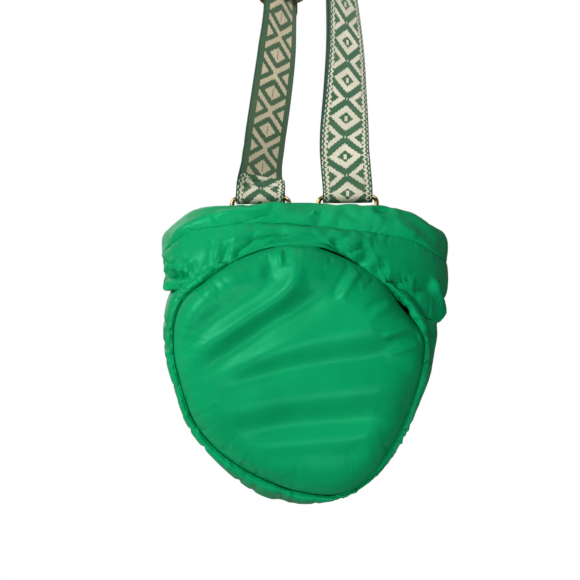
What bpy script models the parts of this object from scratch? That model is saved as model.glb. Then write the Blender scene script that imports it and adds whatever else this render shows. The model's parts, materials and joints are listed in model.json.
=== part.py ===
"""Small padded zip-top shoulder bag, hung by an adjustable patterned webbing strap.

World frame: metres, +Z up, origin at the top of the strap's crown, where a shoulder or a
peg carries it; the face panel looks towards -Y.

Body coordinates, used for every size below, are millimetres from a datum on the bag's
middle plane, level with the collar's lower edge: x right, y back, z up.
"""
import math

import bmesh
import bpy
from mathutils import Matrix, Vector

MM = 0.001
GAP = 0.35

# ---- driving dimensions, millimetres ---------------------------------------------------
SEAM_FRONT_Y = -44.4
SEAM_BACK_Y = 39.4
BODY_MIDDLE_Y = -3.0
BODY_CENTRE = Vector((2.0, BODY_MIDDLE_Y, -22.0))

PANEL_TOP_Z = 19.0
PANEL_RIM = 2.0
FACE_CROWN = 7.0
BACK_CROWN = 5.0

NOTCH_HALF_WIDTH = 61.0
WALL_EDGE = 1.2
WALL_MIDDLE = 5.0
BINDING_INSETS = (4.0, 8.0)
BINDING_DEPTH = 1.55
LINING_WALL = 0.8

ZIP_Y = -4.0
ZIP_Z = 31.0
ZIP_HALF_LENGTH = 50.0
TAPE_THICKNESS = 0.6
TAPE_FRONT_Y = -11.8
TAPE_BACK_Y = 9.2
TEETH_MARGIN = 3.0
TEETH_HALF_GAP = 0.7
TEETH_DEPTH = 2.2
TEETH_Z = (-0.9, 1.3)
TOOTH_PITCH = 3.0
STOP_LENGTH = 1.8
STOP_Z = (-1.0, 1.6)
END_TAB_LENGTH = 3.65
END_TAB_Y = (-9.5, 6.0)
END_TAB_Z = (-1.0, 0.2)
SLIDER_X = -40.0
SLIDER_HALF_LENGTH = 5.0
BRIDGE_HALF_WIDTH = 0.9
PULL_Z = 35.15
PULL_TILT = 3.5
PULL_HALF_THICKNESS = 0.45

STRAP_Y = 6.0
WEBBING_WIDTH = 25.0
WEBBING_THICKNESS = 1.5
LAYER_OFFSET = 0.95
CROWN_Z = 343.0
CROWN_RADIUS = 11.0

RING_X = 22.0
RING_WIRE = 1.25
RING_HALF_WIDTH = 14.5
RING_CORNER = 2.6
RING_TOP_Z = 46.6
RING_BOTTOM_Z = 35.2
TAB_HALF_WIDTH = 10.0
TAB_HOLE = 1.9
TAB_OUTER = 3.1
TAB_FOOT = 4.3

ADJUSTER_Z = 152.0
ADJUSTER_HALF_HEIGHT = 10.0
ADJUSTER_HALF_WIDTH = 15.2
ADJUSTER_RAIL = 1.9
ADJUSTER_HALF_DEPTH = 4.0
ADJUSTER_BAR_OUT = (2.2, 3.8)
ADJUSTER_BAR_HEIGHT = (0.2, 2.3)
ADJUSTER_BAR_OVERLAP = 0.3
MIDDLE_BAR_RADIUS = 0.6
MIDDLE_LOOP_RADIUS = 1.7
RETURN_HEM_HEIGHT = 7.0
ADJUSTER_TURN = 54.0
RETURN_FIXED_Z = 215.0
STRAIGHT_RUN_X = -11.0

# Where the body datum and each joint's axis lie, in body coordinates.
CROWN_POINT = Vector((0.0, STRAP_Y, CROWN_Z))
BAG_PIVOT = Vector((RING_X, STRAP_Y, RING_BOTTOM_Z))
RING_RIGHT_PIVOT = Vector((RING_X, STRAP_Y, RING_TOP_Z))
RING_LEFT_PIVOT = Vector((-RING_X, STRAP_Y, RING_TOP_Z))
SLIDER_PIVOT = Vector((SLIDER_X, ZIP_Y, ZIP_Z))
PULL_PIVOT = Vector((SLIDER_X, ZIP_Y, PULL_Z))
ADJUSTER_PIVOT = Vector((STRAIGHT_RUN_X, STRAP_Y, ADJUSTER_Z))

# The egg-shaped panel's outline, clockwise from its top, as (x, z).
PANEL_OUTLINE = [
    (0, 19), (24, 11), (43, -7), (53, -22), (50, -42), (40, -65), (27, -80.5), (12, -86),
    (-12, -81), (-32, -69.5), (-47, -48.5), (-52.5, -22), (-43, 1), (-24, 13.5),
]
# The side strip, from the right notch round the bottom to the left notch: each station's
# point on the panel seam and on the strip's fullest line.
STRIP_STATIONS = [
    ((43, -8), (61, -16)), ((52.8, -22), (60, -25)), ((50, -42), (56, -42)),
    ((40, -65), (46, -67.5)), ((27, -80.5), (32, -87)), ((12, -86), (11, -96)),
    ((-12, -81), (-13, -93.5)), ((-32, -69.5), (-37, -77)), ((-47, -48.5), (-54, -50)),
    ((-52.5, -22), (-61.5, -24)), ((-44, -1.5), (-61, -2)),
]
STRIP_SEAM_STATION = 5.9

# Collar rails, from the panel seam up to the zip: half width, front y, back y, z at the
# front, z at the left side, z at the right side, squareness of the plan.
RAIL_BULGE_LOWER = (69.0, -43.0, 40.0, 26.5, 8.0, 3.0, 0.60)
RAIL_BAND_SEAM = (68.0, -34.0, 33.0, 28.5, 13.5, 12.5, 0.60)
RAIL_BULGE_UPPER = (65.0, -20.0, 19.0, 39.5, 28.0, 28.0, 0.55)
RAIL_ZIP_EDGE = (58.0, -13.0, 10.5, 31.0, 29.0, 29.0, 0.30)
RAIL_FALL = 1.5
SIDE_SEAM_ANGLE = 89.985

# Collar's lower edge on each side: drop of its arch per square millimetre of x, z at the
# side notch, and slope towards the notch.
SEAM_RAIL_LEFT = (0.0098, -0.5, 0.08)
SEAM_RAIL_RIGHT = (0.0135, -14.0, 0.45)

# Lining levels: z, centre x, half width, centre y, half depth.
LINING_LEVELS = [
    (-80, 4, 15, -3, 22), (-76, 3, 25, -3, 33), (-66, 2, 35, -3, 36), (-50, 1, 43, -3, 37),
    (-30, 0, 48, -3, 37), (-8, 0, 49, -3, 36), (10, 0, 48, -3, 34), (20, 0, 47, -4, 27),
    (27, 0, 46, -4, 20),
]

# Slider's section as (y from the zip's middle, z): two plates joined by a post between the
# tooth rows. The bridge over it and the pull are outlines as (x from the pivot, z) and (x, y).
SLIDER_SECTION = [
    (-4.4, 31.7), (-3.6, 31.7), (-3.6, 32.9), (-0.3, 32.9), (-0.3, 29.8), (-3.6, 29.8),
    (-3.6, 30.3), (-4.4, 30.3), (-4.4, 28.8), (-3.9, 28.4), (3.9, 28.4), (4.4, 28.8),
    (4.4, 30.3), (3.6, 30.3), (3.6, 29.8), (0.3, 29.8), (0.3, 32.9), (3.6, 32.9),
    (3.6, 31.7), (4.4, 31.7), (4.4, 33.7), (3.9, 34.2), (-3.9, 34.2), (-4.4, 33.7),
]
BRIDGE_ARCH = [
    (-4.0, 34.5), (-4.0, 36.3), (-3.1, 37.0), (3.1, 37.0), (4.0, 36.3), (4.0, 34.5),
    (3.0, 34.5), (3.0, 35.9), (-3.0, 35.9), (-3.0, 34.5),
]
PULL_OUTLINE = [
    (-0.45, -2.6), (20.0, -3.4), (23.0, -2.4), (24.0, 0.0), (23.0, 2.4), (20.0, 3.4),
    (-0.45, 2.6),
]
PULL_WINDOW = ((0.5, -1.5, -2.0), (5.6, 1.5, 2.0))

# Strap routes as (z, x, turn of the webbing's width about the vertical in degrees).
LEFT_RUN = [
    (50.5, -22.0, 4), (56, -21.5, 27), (62, -20.8, 40), (71, -19.6, 42), (96, -16.1, 43),
    (121, -12.8, 47), (138, -11.2, 54), (160, -11, 54), (185, -11, 54), (214, -11, 54),
    (216, -11, 54), (245, -11, 66), (275, -11, 80), (305, -11, 89), (332, -11, 90),
]
RIGHT_RUN = [
    (50.5, 22.0, 0), (60, 21.2, 2), (72, 20.4, 10), (96, 20.9, 31), (121, 21, 44),
    (147, 19.4, 54), (180, 16.6, 66), (215, 13.8, 78), (250, 12, 86), (290, 11.2, 90),
    (332, 11, 90),
]
HEM_TOP_Z = 57.5


# ---- materials -------------------------------------------------------------------------
def material(name, colour, roughness, metallic=0.0):
    made = bpy.data.materials.new(name)
    made.use_nodes = True
    shader = made.node_tree.nodes["Principled BSDF"]
    shader.inputs["Base Color"].default_value = (*colour, 1.0)
    shader.inputs["Roughness"].default_value = roughness
    shader.inputs["Metallic"].default_value = metallic
    return made


def make_materials():
    return {
        "shell": material("shell_nylon", (0.005, 0.31, 0.11), 0.35),
        "lining": material("lining_cloth", (0.01, 0.12, 0.06), 0.7),
        "tape": material("zip_tape", (0.01, 0.22, 0.09), 0.8),
        "webbing": material("patterned_webbing", (0.20, 0.34, 0.18), 0.85),
        "gold": material("gold_metal", (0.60, 0.42, 0.16), 0.3, 1.0),
    }


# ---- curves and meshes -----------------------------------------------------------------
def spline(points, position, closed):
    """Point on a Catmull-Rom curve; position counts the given points from 0."""
    count = len(points)
    index = math.floor(position)
    if not closed:
        index = min(max(index, 0), count - 2)
    part = position - index

    def at(i):
        if closed:
            return Vector(points[i % count])
        return Vector(points[min(max(i, 0), count - 1)])

    before, start, end, after = at(index - 1), at(index), at(index + 1), at(index + 2)
    return 0.5 * (
        2.0 * start
        + (end - before) * part
        + (2.0 * before - 5.0 * start + 4.0 * end - after) * part ** 2
        + (3.0 * start - before - 3.0 * end + after) * part ** 3
    )


def grid_quads(rows, columns, start, wrap=False):
    """Faces of a grid of points stored row by row from index start."""
    faces = []
    last = columns if wrap else columns - 1
    for row in range(rows - 1):
        for column in range(last):
            right = (column + 1) % columns
            a = start + row * columns
            b = a + columns
            faces.append((a + column, a + right, b + right, b + column))
    return faces


def solid_between(outer, inner, wrap=False):
    """Closed solid between two grids of the same size; wrap joins last column to first."""
    rows, columns = len(outer), len(outer[0])
    size = rows * columns
    points = [p for row in outer for p in row] + [p for row in inner for p in row]
    faces = grid_quads(rows, columns, 0, wrap) + grid_quads(rows, columns, size, wrap)
    edges = []
    span = columns if wrap else columns - 1
    for row in (0, rows - 1):
        for column in range(span):
            edges.append((row * columns + column, row * columns + (column + 1) % columns))
    if not wrap:
        for row in range(rows - 1):
            for column in (0, columns - 1):
                edges.append((row * columns + column, (row + 1) * columns + column))
    faces += [(a, b, b + size, a + size) for a, b in edges]
    return points, faces


def prism(outline, low, high, axis):
    """Outline of (a, b) points pushed along axis 'x', 'y' or 'z' from low to high."""
    def lift(a, b, c):
        return Vector({"x": (c, a, b), "y": (a, c, b), "z": (a, b, c)}[axis])

    count = len(outline)
    points = [lift(a, b, low) for a, b in outline] + [lift(a, b, high) for a, b in outline]
    faces = [tuple(range(count)), tuple(range(count, 2 * count))]
    for i in range(count):
        j = (i + 1) % count
        faces.append((i, j, j + count, i + count))
    return points, faces


def block(low, high):
    outline = [(low[0], low[1]), (high[0], low[1]), (high[0], high[1]), (low[0], high[1])]
    return prism(outline, low[2], high[2], "z")


def add_piece(name, shape, finish, pivot, smooth=True):
    """Make the object for one sub-part, with its origin at pivot (body coordinates)."""
    points, faces = shape
    mesh = bpy.data.meshes.new(name)
    mesh.from_pydata([(Vector(p) - pivot) * MM for p in points], [], faces)
    work = bmesh.new()
    work.from_mesh(mesh)
    bmesh.ops.recalc_face_normals(work, faces=work.faces)
    work.to_mesh(mesh)
    work.free()
    if smooth:
        mesh.shade_smooth()
        mesh.set_sharp_from_angle(angle=math.radians(35.0))
    mesh.materials.append(finish)
    made = bpy.data.objects.new(name, mesh)
    made.location = (pivot - CROWN_POINT) * MM
    bpy.context.scene.collection.objects.link(made)
    return made


def combine(target, operation, operand):
    """Boolean of target with operand, which stays hidden as a guide."""
    modifier = target.modifiers.new(operand.name, "BOOLEAN")
    modifier.operation = operation
    modifier.solver = "EXACT"
    modifier.object = operand
    operand.hide_render = True
    operand.display_type = "WIRE"


# ---- padded shell ----------------------------------------------------------------------
def padded_patch(surface, u_range, v_range, u_steps, v_steps):
    """Padded cloth over surface(u, v): thin along its seams, full in the middle."""
    def lerp(bounds, part):
        return bounds[0] + (bounds[1] - bounds[0]) * part

    def slope(at):
        return at(0.01) - at(-0.01)

    outer, inner = [], []
    for row in range(v_steps + 1):
        v_part = row / v_steps
        v = lerp(v_range, v_part)
        outer_row, inner_row = [], []
        for column in range(u_steps + 1):
            u_part = column / u_steps
            u = lerp(u_range, u_part)
            point = surface(u, v)
            along_u = slope(lambda step: surface(lerp(u_range, u_part + step), v))
            along_v = slope(lambda step: surface(u, lerp(v_range, v_part + step)))
            normal = along_u.cross(along_v).normalized()
            if normal.dot(point - BODY_CENTRE) < 0.0:
                normal.negate()
            fullness = math.sin(math.pi * v_part) * (1.0 - abs(2.0 * u_part - 1.0) ** 8)
            wall = WALL_EDGE + (WALL_MIDDLE - WALL_EDGE) * fullness
            outer_row.append(point)
            inner_row.append(point - normal * wall)
        outer.append(outer_row)
        inner.append(inner_row)
    return solid_between(outer, inner)


def signed_power(value, power):
    return math.copysign(abs(value) ** power, value)


def plan_point(half_width, front_y, back_y, square, angle):
    """Point of a squarish loop seen from above; angle 0 is the front, 90 the right side."""
    turn = math.radians(angle)
    depth = signed_power(math.cos(turn), square)
    reach = BODY_MIDDLE_Y - front_y if depth > 0.0 else back_y - BODY_MIDDLE_Y
    return half_width * signed_power(math.sin(turn), square), BODY_MIDDLE_Y - reach * depth


def collar_rail(rail, angle):
    half_width, front_y, back_y, front_z, left_z, right_z, square = rail
    x, y = plan_point(half_width, front_y, back_y, square, angle)
    side_z = left_z if x < 0.0 else right_z
    return Vector((x, y, front_z + (side_z - front_z) * (abs(x) / half_width) ** RAIL_FALL))


def seam_rail(angle):
    """Collar's lower edge: over the top of the panel, then level to the side notch."""
    x, y = plan_point(NOTCH_HALF_WIDTH, SEAM_FRONT_Y, SEAM_BACK_Y, 0.6, angle)
    arch_drop, notch_z, slope = SEAM_RAIL_LEFT if x < 0.0 else SEAM_RAIL_RIGHT
    level = notch_z + (NOTCH_HALF_WIDTH - abs(x)) * slope
    return Vector((x, y, max(PANEL_TOP_Z - arch_drop * x * x, level) + GAP))


def through_three(low, middle, high, part):
    """Parabola through three points at part 0, 0.5 and 1."""
    return (
        (1.0 - part) * (1.0 - 2.0 * part) * low
        + 4.0 * part * (1.0 - part) * middle
        + part * (2.0 * part - 1.0) * high
    )


def lower_band(angle, part):
    return through_three(
        seam_rail(angle),
        collar_rail(RAIL_BULGE_LOWER, angle),
        collar_rail(RAIL_BAND_SEAM, angle),
        part,
    )


def upper_band(angle, part):
    return through_three(
        collar_rail(RAIL_BAND_SEAM, angle),
        collar_rail(RAIL_BULGE_UPPER, angle),
        collar_rail(RAIL_ZIP_EDGE, angle),
        part,
    )


def side_strip(station, part):
    """Strip between the front and back panels, bulging beyond their seams."""
    seam = spline([front for front, _ in STRIP_STATIONS], station, closed=False)
    full = spline([middle for _, middle in STRIP_STATIONS], station, closed=False)
    bulge = 1.0 - abs(2.0 * part - 1.0) ** 4
    x, z = seam.lerp(full, bulge)
    return Vector((x, SEAM_FRONT_Y + (SEAM_BACK_Y - SEAM_FRONT_Y) * part, z))


def make_collar(finish):
    for side, middle in (("front", 0.0), ("back", 180.0)):
        angles = (middle - SIDE_SEAM_ANGLE, middle + SIDE_SEAM_ANGLE)
        shape = padded_patch(lower_band, angles, (0.0, 0.97), 20, 5)
        add_piece(f"collar_{side}_lower", shape, finish, BAG_PIVOT)
        shape = padded_patch(upper_band, angles, (0.03, 1.0), 20, 6)
        add_piece(f"collar_{side}_upper", shape, finish, BAG_PIVOT)


def make_side_strip(finish):
    last = len(STRIP_STATIONS) - 1.0
    spans = {"right": (0.06, STRIP_SEAM_STATION), "left": (STRIP_SEAM_STATION + 0.02, last - 0.06)}
    for side, stations in spans.items():
        shape = padded_patch(side_strip, stations, (0.005, 0.995), 16, 8)
        add_piece(f"side_strip_{side}", shape, finish, BAG_PIVOT)


# ---- face and back panels --------------------------------------------------------------
def panel_loop(inset, count=40):
    """Panel outline moved inwards by inset, as (x, z)."""
    step = len(PANEL_OUTLINE) / count
    loop = []
    for i in range(count):
        here = spline(PANEL_OUTLINE, i * step, closed=True)
        ahead = spline(PANEL_OUTLINE, i * step + 0.05, closed=True)
        behind = spline(PANEL_OUTLINE, i * step - 0.05, closed=True)
        along = (ahead - behind).normalized()
        loop.append(here + Vector((along.y, -along.x)) * inset)
    return loop


def pillow_panel(flat_y, outward, crown, flat_from):
    """Panel with a flat inner face and a crowned outer one, level inside inset flat_from."""
    insets = (0.0, 1.5, 5.0, 12.0, 22.0)
    rows = [[Vector((x, flat_y, z)) for x, z in panel_loop(0.0)]]
    for inset in insets:
        rise = PANEL_RIM + crown * math.sin(0.5 * math.pi * min(inset / flat_from, 1.0))
        rows.append([Vector((x, flat_y + outward * rise, z)) for x, z in panel_loop(inset)])
    columns = len(rows[0])
    points = [p for row in rows for p in row]
    faces = grid_quads(len(rows), columns, 0, wrap=True)
    faces.append(tuple(range(columns)))
    faces.append(tuple(range(len(points) - columns, len(points))))
    return points, faces


def make_panels(finish):
    face = pillow_panel(SEAM_FRONT_Y - GAP, -1.0, FACE_CROWN, 22.0)
    add_piece("face_panel", face, finish, BAG_PIVOT)
    back = pillow_panel(SEAM_BACK_Y + GAP, 1.0, BACK_CROWN, 12.0)
    add_piece("back_panel", back, finish, BAG_PIVOT)


def make_seam_bindings(finish):
    """Tape that binds the raw edges inside each panel seam."""
    for name, start, inwards in (
        ("face_seam_binding", SEAM_FRONT_Y + GAP, 1.0),
        ("back_seam_binding", SEAM_BACK_Y - GAP, -1.0),
    ):
        outer, inner = [
            [
                [Vector((x, y, z)) for x, z in panel_loop(inset, 32)]
                for y in (start, start + inwards * BINDING_DEPTH)
            ]
            for inset in BINDING_INSETS
        ]
        add_piece(name, solid_between(outer, inner, wrap=True), finish, BAG_PIVOT)


def make_lining(finish):
    """Lining bag: an open-topped cup, squarish in plan."""
    def loop(level, inset, lift):
        z, centre_x, half_width, centre_y, half_depth = level
        ring = []
        for i in range(28):
            turn = 2.0 * math.pi * i / 28
            x = centre_x + (half_width - inset) * signed_power(math.sin(turn), 0.65)
            y = centre_y - (half_depth - inset) * signed_power(math.cos(turn), 0.65)
            ring.append(Vector((x, y, z + lift)))
        return ring

    rows = [loop(level, 0.0, 0.0) for level in LINING_LEVELS]
    inside = [loop(level, LINING_WALL, 0.0) for level in reversed(LINING_LEVELS[1:])]
    rows += inside + [loop(LINING_LEVELS[0], LINING_WALL, LINING_WALL)]
    points = [p for row in rows for p in row]
    faces = grid_quads(len(rows), 28, 0, wrap=True)
    faces.append(tuple(range(28)))
    faces.append(tuple(range(len(points) - 28, len(points))))
    add_piece("lining_bag", (points, faces), finish, BAG_PIVOT)


# ---- zip -------------------------------------------------------------------------------
def tooth_row(root_y, tip_y):
    """Outline of a row of teeth along x: a cord along root_y with teeth out to tip_y."""
    half = ZIP_HALF_LENGTH - TEETH_MARGIN
    count = int(2.0 * half / TOOTH_PITCH)
    neck_y = root_y + 0.45 * (tip_y - root_y)
    outline = [(-half, root_y)]
    for i in range(count):
        start = -half + (i + 0.25) * TOOTH_PITCH
        end = start + 0.5 * TOOTH_PITCH
        outline += [(start, neck_y), (start, tip_y), (end, tip_y), (end, neck_y)]
    outline.append((half, root_y))
    return outline


def zip_block(x_range, y_range, z_range):
    """Block on the zip, with z counted from its middle plane."""
    low = (min(x_range), y_range[0], ZIP_Z + z_range[0])
    high = (max(x_range), y_range[1], ZIP_Z + z_range[1])
    return block(low, high)


def make_zip(tape, metal):
    front_tip, back_tip = ZIP_Y - TEETH_HALF_GAP, ZIP_Y + TEETH_HALF_GAP
    front_root, back_root = front_tip - TEETH_DEPTH, back_tip + TEETH_DEPTH
    low, high = [ZIP_Z + level for level in TEETH_Z]
    for side, root, tip in (("front", front_root, front_tip), ("back", back_root, back_tip)):
        shape = prism(tooth_row(root, tip), low, high, "z")
        add_piece(f"zip_teeth_{side}", shape, metal, BAG_PIVOT, smooth=False)
    half = ZIP_HALF_LENGTH
    half_tape = 0.5 * TAPE_THICKNESS
    for side, y_range in (
        ("front", (TAPE_FRONT_Y, front_root - GAP)),
        ("back", (back_root + GAP, TAPE_BACK_Y)),
    ):
        shape = zip_block((-half, half), y_range, (-half_tape, half_tape))
        add_piece(f"zip_tape_{side}", shape, tape, BAG_PIVOT, smooth=False)
    stop_x = half - TEETH_MARGIN + GAP
    ends = (stop_x, stop_x + STOP_LENGTH)
    bottom_stop = zip_block(ends, (front_root, back_root), STOP_Z)
    add_piece("zip_bottom_stop", bottom_stop, metal, BAG_PIVOT, smooth=False)
    for side, y_range in (("front", (front_root, front_tip)), ("back", (back_tip, back_root))):
        shape = zip_block([-x for x in ends], y_range, STOP_Z)
        add_piece(f"zip_top_stop_{side}", shape, metal, BAG_PIVOT, smooth=False)
    for side, sign in (("left", -1.0), ("right", 1.0)):
        tab_ends = (sign * (half + GAP), sign * (half + GAP + END_TAB_LENGTH))
        shape = zip_block(tab_ends, END_TAB_Y, END_TAB_Z)
        add_piece(f"zip_end_tab_{side}", shape, tape, BAG_PIVOT, smooth=False)


def make_slider(metal):
    """Slider whose post runs between the tooth rows and whose plates lie over and under."""
    outline = [(ZIP_Y + y, z) for y, z in SLIDER_SECTION]
    shape = prism(outline, SLIDER_X - SLIDER_HALF_LENGTH, SLIDER_X + SLIDER_HALF_LENGTH, "x")
    add_piece("zip_slider", shape, metal, SLIDER_PIVOT, smooth=False)
    outline = [(SLIDER_X + x, z) for x, z in BRIDGE_ARCH]
    bridge = prism(outline, ZIP_Y - BRIDGE_HALF_WIDTH, ZIP_Y + BRIDGE_HALF_WIDTH, "y")
    add_piece("zip_slider_bridge", bridge, metal, SLIDER_PIVOT, smooth=False)


def make_pull(metal):
    """Flat pull lying on the closed zip, hooked under the slider's bridge."""
    tilt = Matrix.Rotation(math.radians(PULL_TILT), 4, "Y")

    def add_tilted(name, shape):
        points, faces = shape
        points = [PULL_PIVOT + tilt @ p for p in points]
        return add_piece(name, (points, faces), metal, PULL_PIVOT, smooth=False)

    plate = prism(PULL_OUTLINE, -PULL_HALF_THICKNESS, PULL_HALF_THICKNESS, "z")
    pull = add_tilted("zip_pull", plate)
    window = add_tilted("zip_pull_window", block(*PULL_WINDOW))
    combine(pull, "DIFFERENCE", window)


# ---- rings and their tabs --------------------------------------------------------------
def wire_ring(centre_x):
    """Rectangular ring of round wire with rounded corners, standing in the x-z plane."""
    corner = RING_CORNER
    corner_steps = 4
    centre_z = 0.5 * (RING_TOP_Z + RING_BOTTOM_Z)
    half_height = 0.5 * (RING_TOP_Z - RING_BOTTOM_Z)
    path = []
    for quarter, (sign_x, sign_z) in enumerate(((1, 1), (-1, 1), (-1, -1), (1, -1))):
        for step in range(corner_steps + 1):
            turn = math.radians(90.0 * (quarter + step / corner_steps))
            outward = Vector((math.cos(turn), 0.0, math.sin(turn)))
            centre = Vector((
                centre_x + sign_x * (RING_HALF_WIDTH - corner),
                STRAP_Y,
                centre_z + sign_z * (half_height - corner),
            ))
            path.append((centre + outward * corner, outward))
    rows = []
    for point, outward in path:
        row = []
        for side in range(8):
            turn = math.radians(45.0 * side + 22.5)
            across = Vector((0.0, math.sin(turn), 0.0))
            row.append(point + (outward * math.cos(turn) + across) * RING_WIRE)
        rows.append(row)
    rows.append(rows[0])
    points = [p for row in rows[:-1] for p in row]
    faces = grid_quads(len(path), 8, 0, wrap=True)
    last = (len(path) - 1) * 8
    for side in range(8):
        following = (side + 1) % 8
        faces.append((last + side, last + following, following, side))
    return points, faces


def ring_tab(centre_x):
    """Cloth loop sewn flat to the zip tape and folded round the ring's lower wire."""
    foot_z = ZIP_Z + TAPE_THICKNESS
    steps = 20
    outer, hole = [], []
    for i in range(steps):
        turn = 2.0 * math.pi * (i + 0.5) / steps
        side, up = math.cos(turn), math.sin(turn)
        reach = TAB_OUTER
        if up < 0.0:
            reach = min((RING_BOTTOM_Z - foot_z) / -up, TAB_FOOT)
            reach = max(reach, TAB_OUTER)
        outer.append((STRAP_Y + side * reach, max(RING_BOTTOM_Z + up * reach, foot_z)))
        hole.append((STRAP_Y + side * TAB_HOLE, RING_BOTTOM_Z + up * TAB_HOLE))
    ends = (centre_x - TAB_HALF_WIDTH, centre_x + TAB_HALF_WIDTH)
    outer_rows = [[Vector((x, y, z)) for y, z in outer] for x in ends]
    hole_rows = [[Vector((x, y, z)) for y, z in hole] for x in ends]
    return solid_between(outer_rows, hole_rows, wrap=True)


def make_hardware(metal, cloth):
    for side, sign, pivot in (("left", -1, RING_LEFT_PIVOT), ("right", 1, RING_RIGHT_PIVOT)):
        add_piece(f"strap_ring_{side}", wire_ring(sign * RING_X), metal, pivot)
        add_piece(f"ring_tab_{side}", ring_tab(sign * RING_X), cloth, BAG_PIVOT)


# ---- strap -----------------------------------------------------------------------------
def webbing_frame(turn_degrees, along):
    """Directions across the webbing and out of its patterned face."""
    turn = math.radians(turn_degrees)
    across = Vector((math.cos(turn), math.sin(turn), 0.0))
    across = (across - along * across.dot(along)).normalized()
    return across, along.cross(across)


def run_frames(run, upwards, low_z, high_z, spacing):
    """Centre line and directions along one run of the strap, in travel order."""
    count = max(int((high_z - low_z) / spacing), 2)
    heights = [low_z + (high_z - low_z) * i / count for i in range(count + 1)]
    levels = [level for level, _, _ in run]

    def at(z):
        index = max(i for i, level in enumerate(levels[:-1]) if z >= level or i == 0)
        part = (z - levels[index]) / (levels[index + 1] - levels[index])
        x, turn = spline([(x, turn) for _, x, turn in run], index + part, closed=False)
        return Vector((x, STRAP_Y, z)), turn

    frames = []
    for z in heights:
        point, turn = at(z)
        along = (at(min(z + 0.5, high_z))[0] - at(max(z - 0.5, low_z))[0]).normalized()
        if not upwards:
            along.negate()
        frames.append((point, *webbing_frame(turn, along)))
    return frames if upwards else frames[::-1]


def crown_frames():
    frames = []
    centre = Vector((0.0, STRAP_Y, CROWN_Z - CROWN_RADIUS))
    for step in range(1, 10):
        turn = math.radians(180.0 - 18.0 * step)
        outward = Vector((math.cos(turn), 0.0, math.sin(turn)))
        frames.append((centre + outward * CROWN_RADIUS, Vector((0.0, 1.0, 0.0)), outward))
    return frames


def offset(frames, distance):
    return [(point + normal * distance, across, normal) for point, across, normal in frames]


def turned_over(frames):
    """Frames of the layer behind these, which shows its patterned face the other way."""
    return [(point, across, -normal) for point, across, normal in offset(frames, -LAYER_OFFSET)]


def bar_loop(centre, first_side, radius, above):
    """Webbing round the underside of a bar along x, entering on the first_side of it (y sign)."""
    across = Vector((1.0, 0.0, 0.0))
    frames = []
    for step in range(9):
        turn = math.radians(22.5 * step)
        outward = Vector((0.0, first_side * math.cos(turn), -math.sin(turn)))
        frames.append((centre + outward * radius, across, outward))
    entry = Vector((0.0, first_side, 0.0))
    lift = Vector((0.0, 0.0, above))
    start = (centre + entry * (radius * 0.9) + lift, across, entry)
    end = (centre - entry * (radius * 0.9) + lift, across, -entry)
    return [start] + frames + [end]


def ribbon(frames):
    """Flat webbing through (centre, across, out) frames."""
    half_width, half_thick = 0.5 * WEBBING_WIDTH, 0.5 * WEBBING_THICKNESS
    rows = []
    for point, across, out in frames:
        side, face = across * half_width, out * half_thick
        below, over = point - face, point + face
        rows.append([below - side, below + side, over + side, over - side])
    points = [p for row in rows for p in row]
    faces = grid_quads(len(rows), 4, 0, wrap=True)
    faces.append((0, 1, 2, 3))
    faces.append(tuple(range(len(points) - 4, len(points))))
    return points, faces


def make_strap(webbing):
    """One webbing: sewn to the left ring, over the crown, round the right ring and back."""
    loop_radius = RING_WIRE + GAP + 0.5 * WEBBING_THICKNESS
    left_low = LEFT_RUN[0][0]
    right_low = RIGHT_RUN[0][0]
    left_top = CROWN_Z - CROWN_RADIUS
    hem = turned_over(run_frames(LEFT_RUN, True, left_low, HEM_TOP_Z, 2.5)[::-1])
    left = run_frames(LEFT_RUN, True, left_low, left_top, 5.0)
    right = run_frames(RIGHT_RUN, False, right_low, left_top, 7.0)
    left_loop = bar_loop(RING_LEFT_PIVOT, -1.0, loop_radius, 1.8)
    right_loop = bar_loop(RING_RIGHT_PIVOT, -1.0, loop_radius, 1.8)
    over = left + crown_frames() + right
    back_over = over[::-1]
    return_top = [f for f in back_over if f[0].x > 0.0 or f[0].z >= RETURN_FIXED_Z]
    outer = offset(over, LAYER_OFFSET)
    inner = turned_over(return_top)
    route = hem + left_loop + outer + right_loop + inner
    add_piece("strap_webbing", ribbon(route), webbing, CROWN_POINT)


def make_return_layer(webbing):
    """Second layer between the crown and the adjuster, and its hem round the middle bar."""
    across, out = webbing_frame(ADJUSTER_TURN, Vector((0.0, 0.0, 1.0)))
    line = Vector((STRAIGHT_RUN_X, STRAP_Y, 0.0)) - out * LAYER_OFFSET
    up = Vector((0.0, 0.0, 1.0))
    hem_top_z = ADJUSTER_Z + RETURN_HEM_HEIGHT
    low, high = hem_top_z + 0.5, RETURN_FIXED_Z - 4.0
    frames = [(line + up * z, across, out) for z in (low, 0.5 * (low + high), high)]
    add_piece("strap_return", ribbon(frames), webbing, Vector((STRAIGHT_RUN_X, STRAP_Y, high)))
    radius = MIDDLE_LOOP_RADIUS
    bar = line - out * radius + up * ADJUSTER_Z
    hem = [(line + up * hem_top_z, across, out)]
    for step in range(9):
        turn = math.radians(22.5 * step)
        outward = out * math.cos(turn) - up * math.sin(turn)
        hem.append((bar + outward * radius, across, outward))
    hem.append((bar - out * radius + up * RETURN_HEM_HEIGHT, across, -out))
    add_piece("strap_return_hem", ribbon(hem), webbing, ADJUSTER_PIVOT)


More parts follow.
